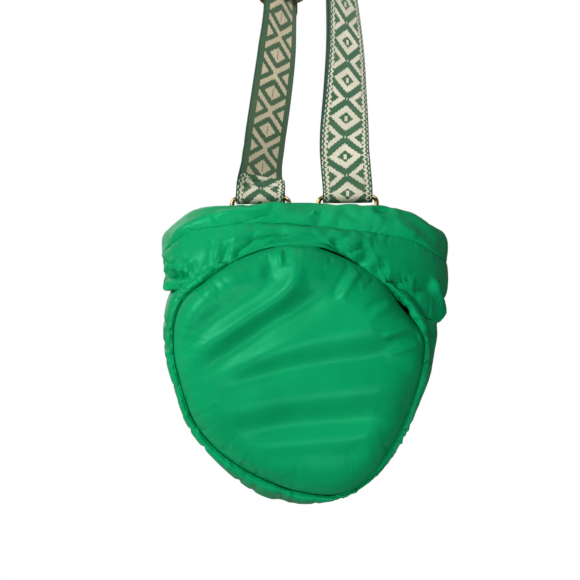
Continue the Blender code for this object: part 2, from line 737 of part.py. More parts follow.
def make_adjuster(metal):
    """Slide with raised outer bars and a set-back middle bar, so webbing passes straight."""
    across, out = webbing_frame(ADJUSTER_TURN, Vector((0.0, 0.0, 1.0)))

    def turned_block(across_range, out_range, up_range):
        low, high = zip(across_range, out_range, up_range)
        points, faces = block(low, high)
        turned = [across * p.x + out * p.y + Vector((0.0, 0.0, p.z)) for p in points]
        return [ADJUSTER_PIVOT + p for p in turned], faces

    reach = ADJUSTER_HALF_HEIGHT
    inner_half = ADJUSTER_HALF_WIDTH - ADJUSTER_RAIL
    rail_depth, rail_height = (-ADJUSTER_HALF_DEPTH, ADJUSTER_HALF_DEPTH), (-reach, reach)
    bar_half = ADJUSTER_HALF_WIDTH - ADJUSTER_BAR_OVERLAP
    bar_span = (-bar_half, bar_half)
    near, far = ADJUSTER_BAR_HEIGHT
    middle_out = -LAYER_OFFSET - MIDDLE_LOOP_RADIUS
    middle = (middle_out - MIDDLE_BAR_RADIUS, middle_out + MIDDLE_BAR_RADIUS)
    frame = add_piece(
        "strap_adjuster",
        turned_block((inner_half, ADJUSTER_HALF_WIDTH), rail_depth, rail_height),
        metal, ADJUSTER_PIVOT, smooth=False,
    )
    for name, shape in {
        "adjuster_far_rail": turned_block((-ADJUSTER_HALF_WIDTH, -inner_half), rail_depth, rail_height),
        "adjuster_top_bar": turned_block(bar_span, ADJUSTER_BAR_OUT, (reach - far, reach - near)),
        "adjuster_low_bar": turned_block(bar_span, ADJUSTER_BAR_OUT, (near - reach, far - reach)),
        "adjuster_middle_bar": turned_block(bar_span, middle, (-MIDDLE_BAR_RADIUS, MIDDLE_BAR_RADIUS)),
    }.items():
        combine(frame, "UNION", add_piece(name, shape, metal, ADJUSTER_PIVOT, smooth=False))


def main():
    for old in list(bpy.data.objects):
        bpy.data.objects.remove(old, do_unlink=True)
    finish = make_materials()
    make_panels(finish["shell"])
    make_side_strip(finish["shell"])
    make_collar(finish["shell"])
    make_seam_bindings(finish["tape"])
    make_lining(finish["lining"])
    make_zip(finish["tape"], finish["gold"])
    make_slider(finish["gold"])
    make_pull(finish["gold"])
    make_hardware(finish["gold"], finish["shell"])
    make_strap(finish["webbing"])
    make_return_layer(finish["webbing"])
    make_adjuster(finish["gold"])


main()
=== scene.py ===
"""Looks of the small padded shoulder bag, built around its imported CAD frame.

Body coordinates, used for every size below, are millimetres from a datum on the bag's
middle plane: x right, y back, z up. The datum is found from the rings' hinge in the frame.
"""
import json
import math

import bmesh
import bpy
import numpy as np
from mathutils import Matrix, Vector


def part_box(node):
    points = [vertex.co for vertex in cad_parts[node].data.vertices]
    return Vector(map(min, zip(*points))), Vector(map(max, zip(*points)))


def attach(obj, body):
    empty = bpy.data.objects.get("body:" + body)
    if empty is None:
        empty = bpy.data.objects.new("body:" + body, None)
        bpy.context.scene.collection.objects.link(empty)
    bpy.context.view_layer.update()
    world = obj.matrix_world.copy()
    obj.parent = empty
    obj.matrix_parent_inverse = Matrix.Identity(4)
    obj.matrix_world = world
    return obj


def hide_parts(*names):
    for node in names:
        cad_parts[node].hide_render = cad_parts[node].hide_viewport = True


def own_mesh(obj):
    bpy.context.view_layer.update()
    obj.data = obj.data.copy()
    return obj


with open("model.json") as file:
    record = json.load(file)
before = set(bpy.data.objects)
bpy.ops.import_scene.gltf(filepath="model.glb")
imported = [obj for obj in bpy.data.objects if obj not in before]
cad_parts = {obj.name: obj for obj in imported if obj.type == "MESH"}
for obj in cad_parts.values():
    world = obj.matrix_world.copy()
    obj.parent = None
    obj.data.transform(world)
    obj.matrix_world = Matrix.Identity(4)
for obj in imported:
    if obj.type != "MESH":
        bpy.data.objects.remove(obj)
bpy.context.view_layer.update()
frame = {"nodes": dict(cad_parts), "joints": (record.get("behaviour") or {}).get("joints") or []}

MM = 0.001
GAP = 0.35

# ---- where the frame puts things ---------------------------------------------------------
STRAP_Y = 6.0
RING_TOP_Z = 46.6
JOINTS = {joint["name"]: joint for joint in frame["joints"]}
DATUM = np.array(JOINTS["rings_swing"]["pos_m"]) - np.array((0.0, STRAP_Y, RING_TOP_Z)) * MM


def body_box(node):
    """A CAD node's lowest and highest corner in body coordinates."""
    low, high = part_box(node)
    return (np.array(low) - DATUM) / MM, (np.array(high) - DATUM) / MM


def to_world(points):
    """Body millimetres as world metres."""
    return np.asarray(points, float) * MM + DATUM


def add_object(name, data):
    """A new object, linked to the scene."""
    made = bpy.data.objects.new(name, data)
    bpy.context.scene.collection.objects.link(made)
    return made


# ---- camera ------------------------------------------------------------------------------
CAMERA_POINT = (16.64, -294.5, 0.0)
CAMERA_TURN = 4.5
CAMERA_LENS = 36.94

# ---- shell: panel outlines and rails, body millimetres -------------------------------------
SEAM_FRONT_Y = -44.4
SEAM_BACK_Y = 39.4
BODY_MIDDLE_Y = -3.0
BODY_CENTRE = np.array((2.0, -3.0, -22.0))
PANEL_RIM = 2.0
# Panels as (name, seam y, way out, crown, distance from the seam to full height, grid points
# a side, most that the simulation may move a point, share of the face's folds).
PANELS = [
    ("face", SEAM_FRONT_Y - GAP, -1.0, 7.0, 16.0, 150, 1.2, 1.25),
    ("back", SEAM_BACK_Y + GAP, 1.0, 5.0, 12.0, 110, 1.0, -0.6),
]
WALL_EDGE = 1.2
WALL_MIDDLE = 3.0

# Face seam, clockwise from the top left of its crown, as (x, z).
FACE_OUTLINE = [
    (-4.3, 18.9), (4.6, 18.5), (13.4, 16), (24.3, 10.9), (35.6, 2.9), (43.6, -7.6),
    (50.8, -16.4), (52.9, -23.5), (50.8, -37.4), (44.5, -56.3), (35.6, -71.8),
    (26.8, -80.6), (17.2, -85.4), (4.6, -85.3), (-9.3, -81.9), (-24.4, -74.8),
    (-37, -65.1), (-45, -54.2), (-49.6, -41.2), (-52.6, -28.6), (-52.6, -14.7),
    (-48.4, -3.8), (-38.7, 4.2), (-29, 10.9), (-16.5, 16.2),
]
STRIP_FIRST = 4
# The strip's fullest line beside the outline points from STRIP_FIRST on, as (x, z).
STRIP_FULL = [
    (50, 4), (60, -8), (61, -17), (59.3, -25.5), (56.2, -39.6), (47.6, -56.2),
    (38, -71.4), (28.9, -83.4), (18.6, -91.6), (4, -95.8), (-11.4, -95.2), (-27.2, -86.4),
    (-40.5, -73.5), (-49.5, -62.5), (-55.3, -46.5), (-60, -33), (-62.3, -18.5), (-61.8, -4),
    (-57, 5), (-46, 13),
]
STRIP_JOIN = 9.8
EDGE_ROLL = 6.5

# Collar rails from the panel seam up to the zip: half width left and right, front y, back y,
# squareness of the plan, and z from the left side to the right in equal steps of width.
RAIL_BULGE_LOWER = (66, 66.8, -43.5, 40, 0.60, (8, 12, 18.5, 23.5, 25, 22.5, 15.5, 6.5, -1))
RAIL_BAND_SEAM = (67, 67.4, -36.5, 34, 0.60, (16, 25.8, 28.2, 29.3, 28.2, 26.3, 24.3, 20.8, 12.6))
RAIL_BULGE_UPPER = (67.3, 67.5, -20, 19, 0.55, (27.5, 37.4, 39.2, 40, 39.8, 39.6, 38.6, 35.2, 26))
RAIL_ZIP_EDGE = (58, 58, -13, 10.5, 0.30, (29, 30, 30.6, 31, 31, 31, 30.6, 30, 29))
NOTCH_HALF_WIDTH = 61.5
LOWER_EDGE_SQUARE = 0.36
COLLAR_FOLD_GAIN = 1.3
# Collar's lower edge on each side: drop of its arch, z at the notch, slope to the notch.
LOWER_EDGE_LEFT = (0.0098, -0.8, 0.09)
LOWER_EDGE_RIGHT = (0.0135, -15, 0.45)
PANEL_TOP_Z = 19.0

# Folds seen from the front, as (height, half width, one-sidedness, [(x, z), ...]).
# A positive height is a ridge; one-sidedness makes a lap that is higher on the line's left.
FACE_FOLDS = [
    (1.8, 7, 0, [(-47, -24), (-42, -9), (-33, 3), (-22, 11)]),
    (-1.5, 5.5, 0, [(-6, 14), (-9, 5), (-15, -1), (-25, -7), (-37, -15), (-46, -24)]),
    (1.4, 3.8, 0, [(0.8, 15.5), (0, 6), (-4, -0.5), (-12, -6.5), (-21, -12), (-31, -19), (-44, -29)]),
    (-2.1, 5.5, 0, [(20, 6), (10, -2), (0, -9), (-10, -15), (-18, -21.5), (-26, -26.5),
                      (-36, -32.5), (-48, -38.5)]),
    (1.4, 7, 0, [(43, -12), (25, -17), (10, -20), (0, -23), (-12, -27), (-25, -33),
                     (-40, -40.5)]),
    (-1.6, 5.5, 0, [(50, -22), (38, -25), (28, -27), (15, -28.5), (0, -31), (-15, -34.5),
                      (-28, -39), (-43, -44.5)]),
    (1.3, 6.5, 0, [(47, -37), (30, -40), (15, -42), (0, -44), (-15, -46.5), (-28, -48.5),
                     (-44, -48)]),
    (-1.3, 6, 0, [(42, -49), (25, -52), (10, -53), (0, -54), (-15, -56.5), (-33, -58.5)]),
    (0.7, 5, 0, [(36, -57), (15, -60), (0, -62), (-18, -63.5)]),
    (-0.6, 4, 0, [(30, -63.5), (10, -66.5), (-14, -67)]),
    (0.6, 1.3, 0, [(-6.6, 17.5), (-6.4, 13), (-5.4, 9.5)]),
    (-0.6, 1.5, 0, [(-4, 17.5), (-3.6, 13), (-4, 10)]),
    (-0.7, 2.2, 0, [(-12, 15), (-11, 9), (-11.5, 4)]),
    (0.7, 1.7, 0, [(27, 9), (22, 2.5), (18, -5)]),
    (-0.6, 1.7, 0, [(22, 10), (18, 3.5), (14.5, -3)]),
    (0.6, 1.6, 0, [(41, -5.5), (37, -6.8), (30, -11)]),
    (-0.5, 1.6, 0, [(39, -2.5), (34, -4.5), (28, -8)]),
    (0.6, 1.2, 0, [(48, -14.5), (42, -16.5), (35, -18.5)]),
    (-0.7, 1.3, 0, [(51, -18.3), (44, -19.2), (36, -20.8)]),
    (0.6, 1.2, 0, [(51, -22), (44, -24), (36, -26)]),
]
COLLAR_LOWER_FOLDS = [
    (-0.8, 2.2, 0, [(-39, 8), (-37, 16), (-36, 22.5)]),
    (0.7, 2.4, 0, [(-36, 10), (-34.5, 17), (-33.5, 23.5)]),
    (-1.3, 2.6, 0, [(-33, 9), (-31, 16), (-30.5, 20)]),
    (0.9, 2.2, 0, [(-28.5, 13), (-27, 19), (-26, 24)]),
    (-2.6, 3, 0, [(-26, 14), (-21, 18.5), (-16, 21)]),
    (-2.4, 1.8, 0, [(-19, 20.5), (-12, 22.8), (-5, 23.5)]),
    (-1, 0.9, 0, [(-14.5, 17.5), (-12.5, 22), (-11, 24)]),
    (0.8, 1, 0, [(-12, 18.5), (-10.5, 22), (-10, 25)]),
    (-1.1, 0.9, 0, [(-9, 18.5), (-7, 22), (-5, 25.5)]),
    (0.8, 0.9, 0, [(-6.8, 18.5), (-5, 22), (-3, 25.5)]),
    (-1, 0.8, 0, [(-3.6, 18), (-2.4, 21.5), (-1, 24)]),
    (0.7, 0.9, 0, [(-1, 18.5), (0.5, 22), (2.5, 25)]),
    (-0.9, 0.8, 0, [(2, 18), (3, 20.5), (4, 23)]),
    (-0.8, 0.8, 0, [(6.5, 18), (7.5, 20), (9.5, 22.5)]),
    (-1.4, 0.9, 0.5, [(11.5, 15.5), (13.5, 18.5), (20.5, 21.5)]),
    (1.1, 1, 0, [(13.5, 16.8), (17, 19), (20.5, 20.2)]),
    (-1.5, 0.9, 0.5, [(17, 13.5), (23, 17), (30, 20)]),
    (1, 1, 0, [(20, 14), (25, 16.5), (30, 18)]),
    (-0.9, 0.9, 0.4, [(23.5, 11), (28.5, 14.5), (32, 16)]),
    (0.9, 1.2, 0, [(27, 10), (31, 12.5), (34.5, 13.5)]),
    (-1, 0.9, 0.4, [(31.5, 7), (34, 10), (38, 11.5)]),
    (0.8, 1.1, 0, [(34, 6), (36.5, 8.5), (39.5, 9.5)]),
    (-1.5, 1, 0.4, [(36.5, 1.5), (41, 4), (49, 5.2)]),
    (1, 1.6, 0, [(39, 0), (44, 1.6), (50, 2.4)]),
    (-1.6, 1.9, 0, [(49, 2), (53, 1.4), (57.5, 1.8)]),
    (1.9, 1.5, 0, [(58, 5), (60, -1), (62.8, -8), (61.5, -14)]),
    (-1.6, 2, 0, [(61.5, 3), (63.5, -2), (66, -8)]),
    (-2.2, 1.2, 0.6, [(-66, 15.5), (-60, 11.5), (-56.5, 8.6)]),
    (-2.8, 2.2, 0, [(-64, 9.5), (-60, 7), (-57.5, 6.6)]),
    (1.6, 0.9, 0, [(-55.8, 14), (-55.2, 9.5), (-53, 7.9), (-46.5, 7.3)]),
    (-1.9, 0.8, 0.6, [(-58.5, 6.2), (-51, 7), (-46.5, 6)]),
    (1, 1.5, 0, [(-54, 10.5), (-50, 12), (-46, 9.6)]),
    (-0.8, 1.3, 0, [(-50.5, 15), (-47, 11.5), (-43, 9.5)]),
    (1.2, 1.9, 0, [(-61, 3.8), (-53, 3.4), (-45, 4.4)]),
]
COLLAR_UPPER_FOLDS = [
    (2, 2, 0, [(-7, 38.6), (-17, 36.2), (-27, 33.8), (-38, 31.6)]),
    (-3, 1.5, 0, [(-9, 35.6), (-17, 33.2), (-27, 30.6), (-36, 28.9)]),
    (1.6, 1.6, 0, [(-1, 35.6), (-10, 33), (-20, 30.2), (-27, 28.2)]),
    (-1.6, 1.2, 0, [(-13, 38.5), (-11, 36.6), (-8, 35.6)]),
    (0.9, 3, 0, [(-60, 24), (-45, 30.5), (-30, 34)]),
    (-0.6, 2.5, 0, [(-26, 39), (-20, 36.5), (-14, 35.5)]),
    (-1.6, 1, 0.5, [(4, 26.5), (7.5, 31), (9.5, 34)]),
    (0.9, 1.5, 0, [(3, 28.5), (5.5, 33), (6.5, 37.5)]),
    (0.6, 1.6, 0, [(12, 28.5), (14.5, 31.5), (16.5, 36)]),
    (-0.7, 1.4, 0, [(19, 37), (23.5, 32), (29, 29.5)]),
    (0.9, 2, 0, [(30, 37), (33, 33.5), (38, 31)]),
    (-1.5, 0.9, 0.5, [(33, 35.2), (37, 36.6), (42, 36.8)]),
    (0.8, 1.5, 0, [(42, 30), (47.5, 26.5), (52, 23.5)]),
    (-0.6, 2.2, 0, [(44, 36), (52, 30), (60, 21)]),
]
STRIP_FOLDS = [
    (-0.7, 0.9, 0, [(-63.5, -13.5), (-55.5, -16.5)]),
    (-0.8, 0.9, 0, [(-62.5, -23.5), (-55, -26)]),
    (-0.7, 0.9, 0, [(-61, -30), (-53.5, -32.5)]),
    (-0.8, 0.9, 0, [(-58, -41), (-50.5, -42)]),
    (-0.7, 0.9, 0, [(-52.5, -64.5), (-45, -59)]),
    (-0.8, 1, 0, [(-46, -73), (-39, -66.5)]),
    (-0.9, 1, 0, [(-29, -87), (-23, -80)]),
    (-0.8, 0.9, 0, [(-21.5, -90.5), (-17, -81.5)]),
    (-0.7, 0.9, 0, [(-2.5, -86.5), (-2.5, -94)]),
    (-0.7, 0.9, 0, [(7.5, -86.5), (7.5, -94)]),
    (-0.7, 0.9, 0, [(18, -86), (20, -94)]),
    (-1.8, 1.2, 0, [(52.5, -9), (56, -14), (59, -21)]),
    (1.4, 1.2, 0, [(51.5, -10.5), (56.5, -13), (61.5, -14)]),
    (1, 1.8, 0, [(46.5, -9), (50.5, -12), (54, -17)]),
]

# ---- zip and hardware ----------------------------------------------------------------------
ZIP_Y = -4.0
ZIP_Z = 31.0
ZIP_HALF_LENGTH = 50.0
TEETH_ROOT = 2.9
TEETH_TIP = 0.7
TEETH_HALF_LENGTH = 46.8
FIRST_TOOTH_X = -45.5
TOOTH_PITCH = 3.0
TAPE_EDGE_Y = {"front": -11.8, "back": 9.2}
TAPE_HALF_THICKNESS = 0.3
END_TAB_LENGTH = 3.65
END_TAB_Y = (-9.5, 6.0)
# Cast pieces as (CAD node, body, width of its rounded edges).
CAST_PIECES = [
    ("zip_top_stop_front", "bag", 0.3), ("zip_top_stop_back", "bag", 0.3),
    ("zip_bottom_stop", "bag", 0.35), ("zip_slider", "slider", 0.2),
    ("zip_slider_bridge", "slider", 0.2), ("zip_pull", "pull", 0.16),
]
RING_X = 22.0
RING_WIRE = 1.25
RING_HALF_WIDTH = 14.5
RING_BOTTOM_Z = 35.2
RING_CORNER = 2.6
TAB_HALF_WIDTH = 10.0
TAB_HOLE = 1.9
TAB_OUTER = 3.1
TAB_FOOT = 4.3
TAB_STATIONS = 25
TAB_SIDES = 40
TAB_STITCH_OUT = 3.85
BINDING_INSET = 6.0
BINDING_STITCH_INSET = 5.4
BINDING_RISE = 0.78

# ---- strap: repeats the route of the CAD webbing ---------------------------------------------
WEBBING_THICKNESS = 1.5
LAYER_OFFSET = 0.95
CROWN_Z = 343.0
CROWN_RADIUS = 11.0
ADJUSTER_Z = 152.0
ADJUSTER_TURN = 54.0
ADJUSTER_HALF_WIDTH = 15.2
ADJUSTER_HALF_HEIGHT = 10.0
ADJUSTER_FRAME_OUT = 3.0
ADJUSTER_BAR_OUT = -2.65
STRAIGHT_RUN_X = -11.0
RETURN_FIXED_Z = 215.0
RETURN_HEM_HEIGHT = 7.0
HEM_BAR_RADIUS = 1.7
HEM_TOP_Z = 57.5
RING_SEAMS_Z = (53.0, 56.0)
RETURN_SEAMS_Z = (218.0, 221.0)
HEM_SEAMS_UP = (3.4, 5.6)
STITCH_HALF_SPAN = 10.6
STITCH_PLACES = (-0.5, -0.25, 0.0, 0.25, 0.5)
# Height of one diamond's middle on each run, where the pattern is held.
DIAMOND_LEFT_Z = 100.0
DIAMOND_RIGHT_Z = 67.2
# Strap runs as (z, x, turn of the webbing's width about the vertical in degrees).
LEFT_RUN = [
    (50.5, -22.0, 4), (56, -21.5, 27), (62, -20.8, 40), (71, -19.6, 42), (96, -16.1, 43),
    (121, -12.8, 47), (138, -11.2, 54), (160, -11, 54), (185, -11, 54), (214, -11, 54),
    (216, -11, 54), (245, -11, 66), (275, -11, 80), (305, -11, 89), (332, -11, 90),
]
RIGHT_RUN = [
    (50.5, 22.0, 0), (60, 21.2, 2), (72, 20.4, 10), (96, 20.9, 31), (121, 21, 44),
    (147, 19.4, 54), (180, 16.6, 66), (215, 13.8, 78), (250, 12, 86), (290, 11.2, 90),
    (332, 11, 90),
]
# The webbing's outline, as (across, out), with thin rounded selvedges: its back, then its front.
WEB_BACK = [(-12.4, -0.15), (-12.2, -0.38), (-11.6, -0.50), (-6.0, -0.58), (0.0, -0.58)]
WEB_BACK += [(-x, out) for x, out in WEB_BACK[-2::-1]]
WEB_SECTION = WEB_BACK + [(x, -out) for x, out in WEB_BACK[::-1]]

# ---- lining and stage ----------------------------------------------------------------------
# Lining from its bottom up, as (z, middle x, half width, middle y, half depth).
LINING_LEVELS = [
    (-80, 4, 15, -3, 22), (-76, 3, 25, -3, 33), (-66, 2, 35, -3, 36), (-50, 1, 43, -3, 37),
    (-30, 0, 48, -3, 37), (-8, 0, 49, -3, 36), (10, 0, 48, -3, 34), (20, 0, 47, -4, 27),
    (27, 0, 46, -4, 20),
]
LINING_WALL = 0.8
FLOOR_DROP = 45.0
FLOOR_HALF_SIZE = 3000.0
UP = np.array((0.0, 0.0, 1.0))
# Lights as (name, place, aim, size in metres, watts, spread in degrees).
LIGHTS = [
    ("key", (-520.0, -500.0, 300.0), (0.0, -20.0, -20.0), (0.26, 0.26), 4.0, 180.0),
    ("low", (20.0, -520.0, -118.0), (0.0, -20.0, -75.0), (0.3, 0.05), 0.9, 180.0),
    ("top", (-60.0, -60.0, 560.0), (0.0, 0.0, 0.0), (0.3, 0.3), 0.3, 180.0),
    ("back", (-380.0, 520.0, 220.0), (0.0, 0.0, 0.0), (0.5, 0.5), 0.9, 180.0),
    ("strap", (60.0, -170.0, 230.0), (6.0, STRAP_Y, 120.0), (0.12, 0.08), 0.065, 55.0),
]


# ---- node materials ------------------------------------------------------------------------
class Shader:
    """A material's node tree, with short calls for the nodes used here."""

    def __init__(self, name):
        self.material = bpy.data.materials.new(name)
        self.material.use_nodes = True
        self.tree = self.material.node_tree
        self.surface = self.tree.nodes["Principled BSDF"]

    def node(self, kind, inputs=(), **settings):
        made = self.tree.nodes.new(kind)
        for key, value in settings.items():
            setattr(made, key, value)
        for slot, value in dict(inputs).items():
            self.put(made.inputs[slot], value)
        return made

    def put(self, socket, value):
        if isinstance(value, bpy.types.NodeSocket):
            self.tree.links.new(value, socket)
        else:
            socket.default_value = value

    def math(self, operation, *values):
        made = self.node("ShaderNodeMath", operation=operation)
        for i, value in enumerate(values):
            self.put(made.inputs[i], value)
        return made.outputs[0]

    def mix(self, share, low, high):
        made = self.node("ShaderNodeMix", data_type="RGBA")
        self.put(made.inputs[0], share)
        self.put(made.inputs[6], low)
        self.put(made.inputs[7], high)
        return made.outputs[2]

    def place(self, pitch):
        """Object position counted in steps of pitch millimetres."""
        where = self.node("ShaderNodeTexCoord")
        scale = self.node("ShaderNodeVectorMath", {0: where.outputs["Object"]}, operation="SCALE")
        scale.inputs["Scale"].default_value = 1.0 / (pitch * MM)
        return scale.outputs[0]

    def noise(self, pitch, detail=3.0, rough=0.5):
        made = self.node(
            "ShaderNodeTexNoise",
            {"Vector": self.place(pitch), "Scale": 1.0, "Detail": detail, "Roughness": rough},
        )
        return made.outputs["Fac"]

    def remap(self, value, low, high, new_low, new_high):
        made = self.node("ShaderNodeMapRange", {0: value, 1: low, 2: high, 3: new_low, 4: new_high})
        return made.outputs[0]

    def threads(self, pitch):
        """Plain weave: two crossing sets of threads, from 0 to 1."""
        split = self.node("ShaderNodeSeparateXYZ", {0: self.place(pitch)})
        waves = [
            self.math("SINE", self.math("MULTIPLY", split.outputs[i], 2.0 * math.pi)) for i in range(3)
        ]
        crossings = [self.math("MULTIPLY", waves[i], waves[2]) for i in range(2)]
        flat = self.math("ADD", *crossings)
        return self.math("MULTIPLY_ADD", flat, 0.25, 0.5)

    def bump(self, height, distance, strength=1.0, under=None):
        made = self.node(
            "ShaderNodeBump", {"Height": height, "Distance": distance * MM, "Strength": strength}
        )
        if under is not None:
            self.put(made.inputs["Normal"], under)
        return made.outputs[0]

    def finish(self, **inputs):
        for name, value in inputs.items():
            self.put(self.surface.inputs[name.replace("_", " ")], value)
        return self.material


def rgba(red, green, blue):
    return (red, green, blue, 1.0)


def shell_nylon():
    """Satin-glossy nylon taffeta: deep green, faintly uneven, with fine threads and crinkles."""
    s = Shader("shell_nylon")
    tone = s.remap(s.noise(26.0, 2.0), 0.3, 0.7, 0.0, 1.0)
    deep, bright = rgba(0.0010, 0.300, 0.104), rgba(0.0025, 0.370, 0.130)
    colour = s.mix(tone, deep, bright)
    threads = s.threads(0.42)
    crinkle = s.noise(3.4, 4.0, 0.55)
    colour = s.mix(s.remap(threads, 0.3, 0.8, 0.0, 0.10), colour, rgba(0.001, 0.24, 0.08))
    rough = s.remap(crinkle, 0.3, 0.7, 0.34, 0.44)
    fine = s.bump(threads, 0.02, 0.55)
    return s.finish(
        Base_Color=colour, Roughness=rough, Normal=s.bump(crinkle, 0.10, 0.55, fine),
        Specular_IOR_Level=0.28, Specular_Tint=rgba(0.15, 1.0, 0.55),
    )


def plain_cloth(name, dark, light, pitch, rough):
    """Matt plain-woven cloth between two tones, with threads pitch millimetres apart."""
    s = Shader(name)
    threads = s.threads(pitch)
    tone = s.remap(s.noise(9.0), 0.3, 0.7, 0.0, 0.6)
    colour = s.mix(s.math("ADD", s.math("MULTIPLY", threads, 0.5), tone), dark, light)
    return s.finish(
        Base_Color=colour, Roughness=s.remap(threads, 0.0, 1.0, rough, rough + 0.1),
        Normal=s.bump(threads, 0.08, 0.8), Sheen_Weight=0.2,
    )


def twill_tape():
    """Zip tape: herringbone ribs running across the zip."""
    s = Shader("zip_tape")
    split = s.node("ShaderNodeSeparateXYZ", {0: s.place(0.6)})
    side = s.math("PINGPONG", split.outputs[1], 3.0)
    ribs = s.math("SINE", s.math("MULTIPLY", s.math("ADD", split.outputs[0], side), 2.0 * math.pi))
    ribs = s.math("MULTIPLY_ADD", ribs, 0.5, 0.5)
    colour = s.mix(ribs, rgba(0.004, 0.11, 0.05), rgba(0.008, 0.22, 0.10))
    return s.finish(Base_Color=colour, Roughness=0.8, Normal=s.bump(ribs, 0.12, 0.8), Sheen_Weight=0.2)


def gold():
    """Polished gold-coloured plating with faint scuffs."""
    s = Shader("gold_metal")
    scuff = s.noise(1.6, 5.0, 0.6)
    colour = s.mix(s.noise(7.0), rgba(0.36, 0.23, 0.08), rgba(0.55, 0.37, 0.14))
    return s.finish(
        Base_Color=colour, Metallic=1.0, Roughness=s.remap(scuff, 0.35, 0.7, 0.20, 0.38),
        Normal=s.bump(scuff, 0.02, 0.3),
    )


DARK_YARN = rgba(0.008, 0.050, 0.030)
BROWN_YARN = rgba(0.20, 0.12, 0.05)
REPEAT = 19.2
DIAMOND_SLOPE = 0.77
BORDER = 8.6
SELVEDGE = 11.9
# Where the rings of the diamonds begin and end, counted out from a diamond's middle.
RINGS = {False: ((3.0, 6.5), (10.4, 13.2)), True: ((3.9, 7.2), (10.2, 12.9))}
STITCH_ACROSS = 0.52
STITCH_ALONG = 0.62


def jacquard(reverse):
    """Woven diamonds between crossing lines. U runs across the webbing and V along it, in mm."""
    s = Shader("webbing_reverse" if reverse else "webbing_front")
    uv = s.node("ShaderNodeUVMap", uv_map="webbing")
    split = s.node("ShaderNodeSeparateXYZ", {0: uv.outputs[0]})
    shifted = s.math("ADD", split.outputs[0], 0.5 * STITCH_ACROSS)
    across = s.math("ABSOLUTE", s.math("SNAP", shifted, STITCH_ACROSS))
    along = s.math("SNAP", split.outputs[1], STITCH_ALONG)
    phase = s.math("PINGPONG", along, 0.5 * REPEAT)
    reach = s.math("MULTIPLY_ADD", across, DIAMOND_SLOPE, phase)

    def between(value, low, high):
        return s.math("MULTIPLY", s.math("GREATER_THAN", value, low), s.math("LESS_THAN", value, high))

    def either(a, b):
        return s.math("MAXIMUM", a, b)

    def dash(middle, half_across, half_along):
        """A short mark on the middle line, a given way along the repeat."""
        near = s.math("LESS_THAN", s.math("ABSOLUTE", s.math("SUBTRACT", phase, middle)), half_along)
        return s.math("MULTIPLY", s.math("LESS_THAN", across, half_across), near)

    rings = either(between(reach, *RINGS[reverse][0]), between(reach, *RINGS[reverse][1]))
    tooth_step = s.math("PINGPONG", along, 0.0625 * REPEAT)
    from_zigzag = s.math("SUBTRACT", s.math("SUBTRACT", across, tooth_step), BORDER + 0.5)
    teeth = s.math("LESS_THAN", s.math("ABSOLUTE", from_zigzag), 0.65)
    outermost = s.math("GREATER_THAN", across, BORDER + 2.5)
    dots = s.math("MULTIPLY", outermost, s.math("LESS_THAN", tooth_step, 0.65))
    inside = s.math("LESS_THAN", across, BORDER)
    if reverse:
        cream = s.math("MULTIPLY", s.math("SUBTRACT", 1.0, rings), inside)
    else:
        marks = either(dash(0.0, 0.7, 1.3), dash(0.5 * REPEAT, 0.5, 0.7))
        border = s.math("MULTIPLY", either(teeth, dots), s.math("SUBTRACT", 1.0, inside))
        cream = either(s.math("MULTIPLY", either(rings, marks), inside), border)
    fuzz = s.noise(1.1, 3.0, 0.6)
    wear = s.remap(s.noise(17.0, 2.0), 0.3, 0.7, 0.0, 1.0)
    if reverse:
        green = s.mix(fuzz, rgba(0.016, 0.062, 0.022), rgba(0.034, 0.115, 0.042))
        pale = s.mix(fuzz, rgba(0.46, 0.38, 0.24), rgba(0.72, 0.63, 0.45))
    else:
        green = s.mix(fuzz, rgba(0.011, 0.072, 0.032), rgba(0.028, 0.150, 0.064))
        pale = s.mix(fuzz, rgba(0.58, 0.54, 0.40), rgba(0.86, 0.80, 0.64))
    colour = s.mix(cream, green, pale)
    colour = s.mix(s.math("MULTIPLY", wear, 0.22), colour, rgba(0.16, 0.20, 0.11))
    if reverse:
        colour = s.mix(dash(0.0, 0.3, 2.4), colour, BROWN_YARN)
    colour = s.mix(s.math("GREATER_THAN", across, SELVEDGE), colour, DARK_YARN)
    warp = s.math("SINE", s.math("MULTIPLY", split.outputs[0], 2.0 * math.pi / STITCH_ACROSS))
    weft = s.math("SINE", s.math("MULTIPLY", split.outputs[1], 2.0 * math.pi / STITCH_ALONG))
    yarn = s.math("MULTIPLY_ADD", s.math("MULTIPLY", warp, weft), 0.5, 0.5)
    colour = s.mix(s.remap(yarn, 0.0, 0.5, 0.30, 0.0), colour, rgba(0.03, 0.05, 0.03))
    raised = s.math("MULTIPLY_ADD", cream, 0.4, s.math("MULTIPLY", yarn, 0.6))
    return s.finish(Base_Color=colour, Roughness=0.85, Normal=s.bump(raised, 0.22, 0.9), Sheen_Weight=0.15)


# ---- numbers and meshes --------------------------------------------------------------------
def spline(points, position, closed=False):
    """Points on a Catmull-Rom curve; position counts the given points from 0."""
    points = np.asarray(points, float)
    position = np.asarray(position, float)
    count = len(points)
    index = np.floor(position).astype(int)
    if not closed:
        index = np.clip(index, 0, count - 2)
    part = (position - index)[..., None]

    def at(i):
        return points[i % count] if closed else points[np.clip(i, 0, count - 1)]

    before, start, end, after = at(index - 1), at(index), at(index + 1), at(index + 2)
    return 0.5 * (
        2.0 * start
        + (end - before) * part
        + (2.0 * before - 5.0 * start + 4.0 * end - after) * part ** 2
        + (3.0 * start - before - 3.0 * end + after) * part ** 3
    )


def smoothstep(value, low, high):
    """0 up to low, 1 from high, and a smooth rise between them."""
    part = np.clip((value - low) / (high - low), 0.0, 1.0)
    return part * part * (3.0 - 2.0 * part)


def unit(vectors):
    """Vectors shortened or lengthened to 1, along their last axis."""
    return vectors / np.maximum(np.linalg.norm(vectors, axis=-1, keepdims=True), 1e-9)


